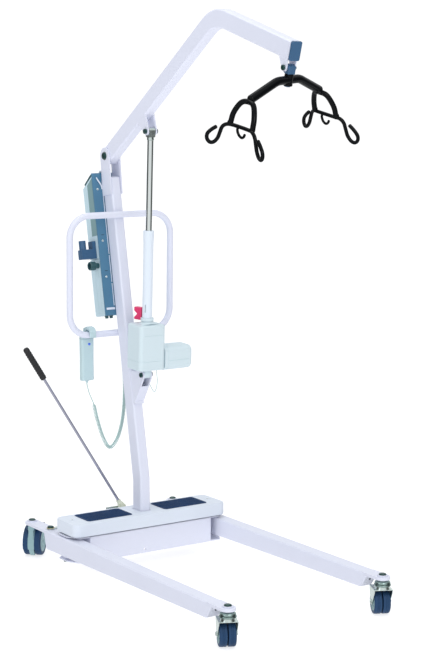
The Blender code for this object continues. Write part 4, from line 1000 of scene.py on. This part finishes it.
stick = Vector((-math.sin(math.radians(9.6)), 0, math.cos(math.radians(9.6))))
refined("lever_hub", STEEL, 0.0006, 2)
lever_rod = [(0, 0.0127), (0.0049, 0.0127), (0.0049, 0.7045), (0, 0.7045)]
piece("lever_bar", [lathe(lever_rod, (0, 0, 0), stick, 32)], LEVER, LEVER_CHROME, "lever_rod", ["lever_rod"])
grip = [(0.0053, 0.5870), (0.0092, 0.5870), (0.0104, 0.5880), (0.0104, 0.5920)]
for i in range(11):
    start = 0.5940 + i * 0.0096
    grip += [(0.0114, start), (0.0114, start + 0.0062), (0.0104, start + 0.0070), (0.0104, start + 0.0088)]
grip += [
    (0.0112, 0.7030), (0.0108, 0.7100), (0.0086, 0.7150), (0.0050, 0.7168), (0, 0.7170), (0, 0.7055),
    (0.0053, 0.7055)
]
piece("lever_handgrip", [lathe(grip, (0, 0, 0), stick, 40)], LEVER, RUBBER, "lever_grip", ["lever_grip"])
boot = [(0.0094, 0.0340), (0.0149, 0.0340), (0.0149, 0.0362)]
for low, radius in ((0.0372, 0.0143), (0.0416, 0.0132), (0.0460, 0.0120), (0.0504, 0.0108)):
    boot += [
        (radius - 0.0018, low), (radius, low + 0.0014), (radius, low + 0.0024), (radius - 0.0018, low + 0.0036)
    ]
boot += [(0.0084, 0.0566), (0.0082, 0.0640), (0.0084, 0.0668), (0.0054, 0.0669), (0.0054, 0.0492), (0.0094, 0.0470)]
piece("lever_bellows", [lathe(boot, (0, 0, 0), stick, 40)], LEVER, CREAM, "lever_boot", ["lever_boot"])


# ---------------------------------------------------------------- control box and battery

BOX_LOW, BOX_SPLIT, BOX_HIGH = 0.586, 0.790, 1.093
# How far each side lies from the centre plane, by the sign of y.
BOX_SIDES = {-1: 0.058, 1: 0.055}
PLATE_SIDES = {-1: 0.060, 1: 0.0505}
PLATE_REAR, PLATE_FRONT = -0.0360, -0.0303
BOX_FRONT, BOX_REAR = -0.0363, -0.1080

plate_shape = slab(
    rounded((PLATE_REAR, -PLATE_SIDES[-1]), (PLATE_FRONT, PLATE_SIDES[1]), 0.0015, 3), BOX_LOW, BOX_HIGH, "Z",
    0.0010, 2
)
piece("box_plate", [plate_shape], MAST, BLUE, "mounting_plate", ["mounting_plate"])

screws, slot_shade_bars, edges = [], [], []
for way in (-1, 1):
    for z in (1.036, 0.852, 0.724):
        head = [
            (0, 0), (0.0042, 0), (0.0042, 0.0008), (0.0030, 0.0014), (0.0012, 0.0014), (0.0009, 0.0006), (0, 0.0006)
        ]
        screws.append(lathe(head, (PLATE_FRONT - 0.0002, way * 0.042, z), (1, 0, 0), 24))
    # Each slot is a thin near-black bar on the plate's face. It is painted shade for the slot's dark inside.
    for z in (0.872, 0.744):
        slot_shade_bars.append(
            brick(
                (PLATE_FRONT - 0.001, way * 0.040 - 0.006, z),
                (PLATE_FRONT + 0.0002, way * 0.040 + 0.006, z + 0.0018), 0.0002, 1
            )
        )
    low_y, high_y = sorted((way * 0.0212, way * 0.0236))
    for low, high in ((0.620, 0.700), (0.704, 0.800), (0.804, 1.066)):
        edges.append(brick((PLATE_FRONT - 0.0002, low_y, low), (PLATE_FRONT + 0.0022, high_y, high), 0.0007, 2))
piece("plate_screws", screws, MAST, ZINC, "mounting_plate")
piece("plate_slot_shade", slot_shade_bars, MAST, SLOT_SHADE, "mounting_plate")
piece("plate_edge_trims", edges, MAST, SHELL, "mounting_plate")
latch_straps = [
    sweep(
        curved_route(
            [
                (PLATE_FRONT + 0.0022, way * 0.044, 1.076), (PLATE_FRONT + 0.0040, way * 0.038, 1.064),
                (PLATE_FRONT + 0.0036, way * 0.0290, 1.050), (PLATE_FRONT + 0.0022, way * 0.0250, 1.036)
            ],
            8
        ),
        0.0024, 14
    )
    for way in (-1, 1)
]
piece("latch_straps", latch_straps, MAST, SHELL, "mounting_plate")
foot_bar = [
    brick((PLATE_FRONT - 0.0002, low, 0.606), (PLATE_FRONT + 0.0044, high, 0.614), 0.0014, 3) for low,
    high in ((-0.055, -0.0215), (0.0215, 0.0495))
]
piece("plate_foot_bar", foot_bar, MAST, SHELL, "mounting_plate")
sockets = []
for y in (-0.048, -0.030, 0.030, 0.048):
    ring = [
        (0, -0.010), (0.0048, -0.010), (0.0060, -0.0085), (0.0060, -0.0040), (0.0072, -0.0030), (0.0072, -0.0004),
        (0, -0.0004)
    ]
    sockets.append(lathe(ring, (-0.0455, y, BOX_LOW), (0, 0, 1), 24))
piece("box_sockets", sockets, MAST, TEAL, "control_box")


control_side = [
    *arc((BOX_REAR + 0.008, BOX_LOW + 0.008), 0.008, 180, 270, 6),
    (BOX_FRONT, BOX_LOW),
    (BOX_FRONT, BOX_SPLIT - 0.0004),
    (BOX_REAR, BOX_SPLIT - 0.0004),
]
piece(
    "control_case",
    [slab(control_side, -BOX_SIDES[-1], BOX_SIDES[1], "Y", 0.0035, 3)],
    MAST,
    BOX_PALE,
    "control_box",
    ["control_box"],
)
battery_side = [
    (BOX_FRONT, BOX_SPLIT + 0.0004),
    (BOX_FRONT, BOX_HIGH - 0.0065),
    (BOX_FRONT - 0.004, BOX_HIGH - 0.0070),
    (BOX_REAR, BOX_HIGH - 0.0465),
    (BOX_REAR, BOX_SPLIT + 0.0004),
]
piece(
    "battery_case",
    [slab(battery_side, -BOX_SIDES[-1], BOX_SIDES[1], "Y", 0.0035, 3)],
    MAST,
    BOX_PALE,
    "battery_pack",
    ["battery_pack"],
)
# Teal-grey patches on the upper front part of the battery's sides are painted shade: the darker band of the sides next
# to the control box, laid on as thin slabs in the disc colour.
painted_shade_patches, ridges = [], []
for way in (-1, 1):
    low_y, high_y = sorted((way * (BOX_SIDES[way] - 0.0005), way * (BOX_SIDES[way] + 0.0007)))
    shade_outline = [(-0.0385, 0.872), (-0.0385, 1.076), (-0.0740, 1.054), (-0.0740, 0.872)]
    painted_shade_patches.append(slab(shade_outline, low_y, high_y, "Y", 0.0005, 2))
    for x in (-0.0800, -0.0560):
        ridges.append(brick((x, low_y, 0.600), (x + 0.0016, high_y, 0.780), 0.0005, 2))
    ridges.append(brick((-0.0880, low_y, 0.800), (-0.0864, high_y, 1.046), 0.0005, 2))
piece("battery_painted_shade_patches", painted_shade_patches, MAST, DISC, "battery_pack")
piece("box_ridges", ridges, MAST, PALE, "control_box")
cap_side = [(BOX_FRONT, 1.0830), (BOX_FRONT, 1.0922), (-0.0480, 1.0878), (-0.0930, 1.0610), (-0.0900, 1.0540)]
lids = [slab(cap_side, low, high, "Y", 0.0010, 2) for low, high in ((-0.0584, -0.0215), (0.0215, 0.0554))]
piece("battery_end_caps", lids, MAST, TEAL, "battery_pack")
refined("battery_latch", SHELL, 0.0008, 3)

refined("cable_hook", DEEP_BLUE, 0.0014, 3)
KNOB = (-0.052, 0, 0.766)
knob = [
    (0, 0.0584), (0.0100, 0.0584), (0.0100, 0.0672), (0.0118, 0.0700), (0.0146, 0.0722), (0.0150, 0.0732),
    (
        0.0150, 0.0918
    ), (0.0146, 0.0936), (0.0132, 0.0949), (0.0114, 0.0949), (0.0104, 0.0936), (0.0098, 0.0800), (0, 0.0800),
]
lobes = []
for i in range(10):
    around = math.tau * i / 10
    lobes.append(
        sweep(
            [
                (KNOB[0] + 0.0143 * math.cos(around), y, KNOB[2] + 0.0143 * math.sin(around))
                for y in (-0.0735, -0.0915)
            ],
            0.0016,
            10,
        )
    )
piece("knob_body", [lathe(knob, KNOB, (0, -1, 0)), *lobes], MAST, TEAL, "clamp_knob", ["clamp_knob"])
centre_screw = [(0, 0.0798), (0.0052, 0.0798), (0.0052, 0.0832), (0.0040, 0.0842), (0, 0.0842)]
piece("knob_screw", [lathe(centre_screw, KNOB, (0, -1, 0), 6)], MAST, ZINC, "clamp_knob")

PLUG = (-0.066, 0.020, BOX_LOW)
plug = [
    (0, -0.0256), (0.0040, -0.0256), (0.0056, -0.0236), (0.0062, -0.0205), (0.0086, -0.0188), (0.0092, -0.0180),
    (
        0.0092, -0.0150
    ), (0.0086, -0.0142), (0.0092, -0.0134), (0.0092, -0.0104), (0.0086, -0.0096), (0.0092, -0.0088),
    (0.0092, -0.0004), (0, -0.0004),
]
piece("cord_plug", [lathe(plug, PLUG)], MAST, TEAL, "handset_plug", ["handset_plug"])


# ---------------------------------------------------------------- handset

HANDSET_Y = -0.125


def handset_section(z, inset, corner=0.0085):
    return z, (
        0.0885 + inset, HANDSET_Y - 0.0255 + inset
    ), (0.1130 - inset, HANDSET_Y + 0.0255 - inset), corner - inset * 0.5


grip_sections = [
    handset_section(0.6392, 0.0040),
    handset_section(0.6398, 0.0022),
    handset_section(0.6420, 0.0006),
    handset_section(0.6460, 0.0002),
    handset_section(0.7200, 0.0006),
    handset_section(0.7800, 0.0),
    handset_section(0.8100, 0.0002),
    handset_section(0.8140, 0.0012),
    handset_section(0.8154, 0.0036),
]
hook_side = [
    (0.0955, 0.800), (0.1115, 0.800), (0.1115, 0.8185), (0.1170, 0.8215), (0.1270, 0.8225), (0.1365, 0.8200),
    (0.1420, 0.8120), (0.1420, 0.7960), (0.1480, 0.7960), (0.1480, 0.8150), (0.1440, 0.8250), (0.1360, 0.8320),
    (0.1180, 0.8340), (0.0960, 0.8260),
]
handset_shapes = [
    stack(grip_sections, "Z", 8), slab(hook_side, HANDSET_Y - 0.011, HANDSET_Y + 0.013, "Y", 0.0018, 3)
]
piece("handset_shell", handset_shapes, HOIST, PALE, "handset", ["handset"])
seam = [handset_section(0.7890, -0.00015), handset_section(0.7899, -0.00015)]
piece("handset_seam", [stack(seam, "Z", 8)], HOIST, DISC, "handset")
dot = [(0, 0), (0.0048, 0), (0.0048, 0.0012), (0.0038, 0.0019), (0, 0.0021)]
piece("handset_dot", [lathe(dot, (0.1128, HANDSET_Y + 0.004, 0.7700), (1, 0, 0), 32)], HOIST, DOT, "handset")
relief = [
    (0, 0.0), (0.0058, 0.0), (0.0056, -0.0030), (0.0044, -0.0042), (0.0044, -0.0060), (0.0036, -0.0070),
    (0.0036, -0.0090), (0, -0.0090)
]
piece("handset_relief", [lathe(relief, (0.1010, HANDSET_Y, 0.6394))], HOIST, PALE, "handset")
for label, z in (("up", 0.742), ("down", 0.706)):
    button = [(0, -0.0024), (0.0062, -0.0024), (0.0076, -0.0019), (0.0086, -0.0008), (0.0087, 0.0040), (0, 0.0040)]
    centre = (0.0885, HANDSET_Y, z)
    node = f"handset_button_{label}"
    piece(f"button_{label}", [lathe(button, centre, (1, 0, 0))], HOIST, DOT, node, [node])
    rim = [(0.0090, -0.0012), (0.0100, -0.0012), (0.0104, -0.0006), (0.0104, 0.0008), (0.0090, 0.0008)]
    piece(f"button_{label}_rim", [lathe(rim, centre, (1, 0, 0))], HOIST, DISC, "handset")


# ---------------------------------------------------------------- stage and light


def backdrop():
    made = bpy.data.materials.new("floor")
    made.use_nodes = True
    shader = made.node_tree.nodes["Principled BSDF"]
    shader.inputs["Base Color"].default_value = (0.42, 0.42, 0.43, 1)
    shader.inputs["Roughness"].default_value = 0.9
    shader.inputs["Specular IOR Level"].default_value = 0.1
    shader.inputs["Emission Color"].default_value = (1, 1, 1, 1)
    shader.inputs["Emission Strength"].default_value = 0.74
    half = 40.0
    mesh = bpy.data.meshes.new("floor")
    mesh.from_pydata(
        [(-half, -half, -0.0006), (half, -half, -0.0006), (half, half, -0.0006), (-half, half, -0.0006)], [],
        [(0, 1, 2, 3)]
    )
    mesh.materials.append(made)
    floor = bpy.data.objects.new("floor", mesh)
    bpy.context.scene.collection.objects.link(floor)
    floor.visible_glossy = False


def area_light(name, location, target, size, power, colour=(1, 1, 1)):
    data = bpy.data.lights.new(name, "AREA")
    data.shape = "RECTANGLE"
    data.size, data.size_y = size
    data.energy = power
    data.color = colour
    made = bpy.data.objects.new(name, data)
    bpy.context.scene.collection.objects.link(made)
    made.location = location
    made.rotation_mode = "QUATERNION"
    made.rotation_quaternion = (Vector(location) - Vector(target)).to_track_quat("Z", "Y")


def sky():
    """White behind the object. What the object reflects has a bright top and dimmer sides."""
    world = bpy.data.worlds.new("studio")
    bpy.context.scene.world = world
    world.use_nodes = True
    tree = world.node_tree
    shader = tree.nodes["Background"]
    output = tree.nodes["World Output"]
    place = tree.nodes.new("ShaderNodeTexCoord").outputs["Generated"]
    toward = tree.nodes.new("ShaderNodeVectorMath")
    toward.operation = "DOT_PRODUCT"
    toward.inputs[1].default_value = (math.cos(azimuth), math.sin(azimuth), 0)
    tree.links.new(place, toward.inputs[0])
    size = tree.nodes.new("ShaderNodeMath")
    size.operation = "ABSOLUTE"
    tree.links.new(toward.outputs["Value"], size.inputs[0])
    ramp = tree.nodes.new("ShaderNodeValToRGB")
    marks = ((0.0, 1.0), (0.55, 1.0), (0.78, 0.80), (0.90, 0.12), (0.96, 0.08), (1.0, 0.10))
    while len(ramp.color_ramp.elements) < len(marks):
        ramp.color_ramp.elements.new(0.5)
    for element, (position, level) in zip(ramp.color_ramp.elements, marks):
        element.position = position
        element.color = (level, level * 1.02, level * 1.03, 1)
    tree.links.new(size.outputs["Value"], ramp.inputs["Fac"])
    tree.links.new(ramp.outputs["Color"], shader.inputs["Color"])
    shader.inputs["Strength"].default_value = 0.90
    plain = tree.nodes.new("ShaderNodeBackground")
    plain.inputs["Color"].default_value = (1, 1, 1, 1)
    plain.inputs["Strength"].default_value = 1.05
    mix = tree.nodes.new("ShaderNodeMixShader")
    rays = tree.nodes.new("ShaderNodeLightPath")
    tree.links.new(rays.outputs["Is Camera Ray"], mix.inputs["Fac"])
    tree.links.new(shader.outputs["Background"], mix.inputs[1])
    tree.links.new(plain.outputs["Background"], mix.inputs[2])
    tree.links.new(mix.outputs["Shader"], output.inputs["Surface"])


backdrop()
sky()
area_light("key", (3.6, -0.6, 3.2), (0.1, 0, 0.9), (1.4, 1.4), 30)
area_light("fill", (0.6, -4.4, 2.4), (0, 0, 0.9), (1.6, 1.6), 14, (0.90, 0.95, 1.0))
area_light("top", (-0.6, -0.4, 4.4), (0, 0, 0.5), (2.0, 2.0), 26)
bpy.context.scene.view_settings.view_transform = "Standard"
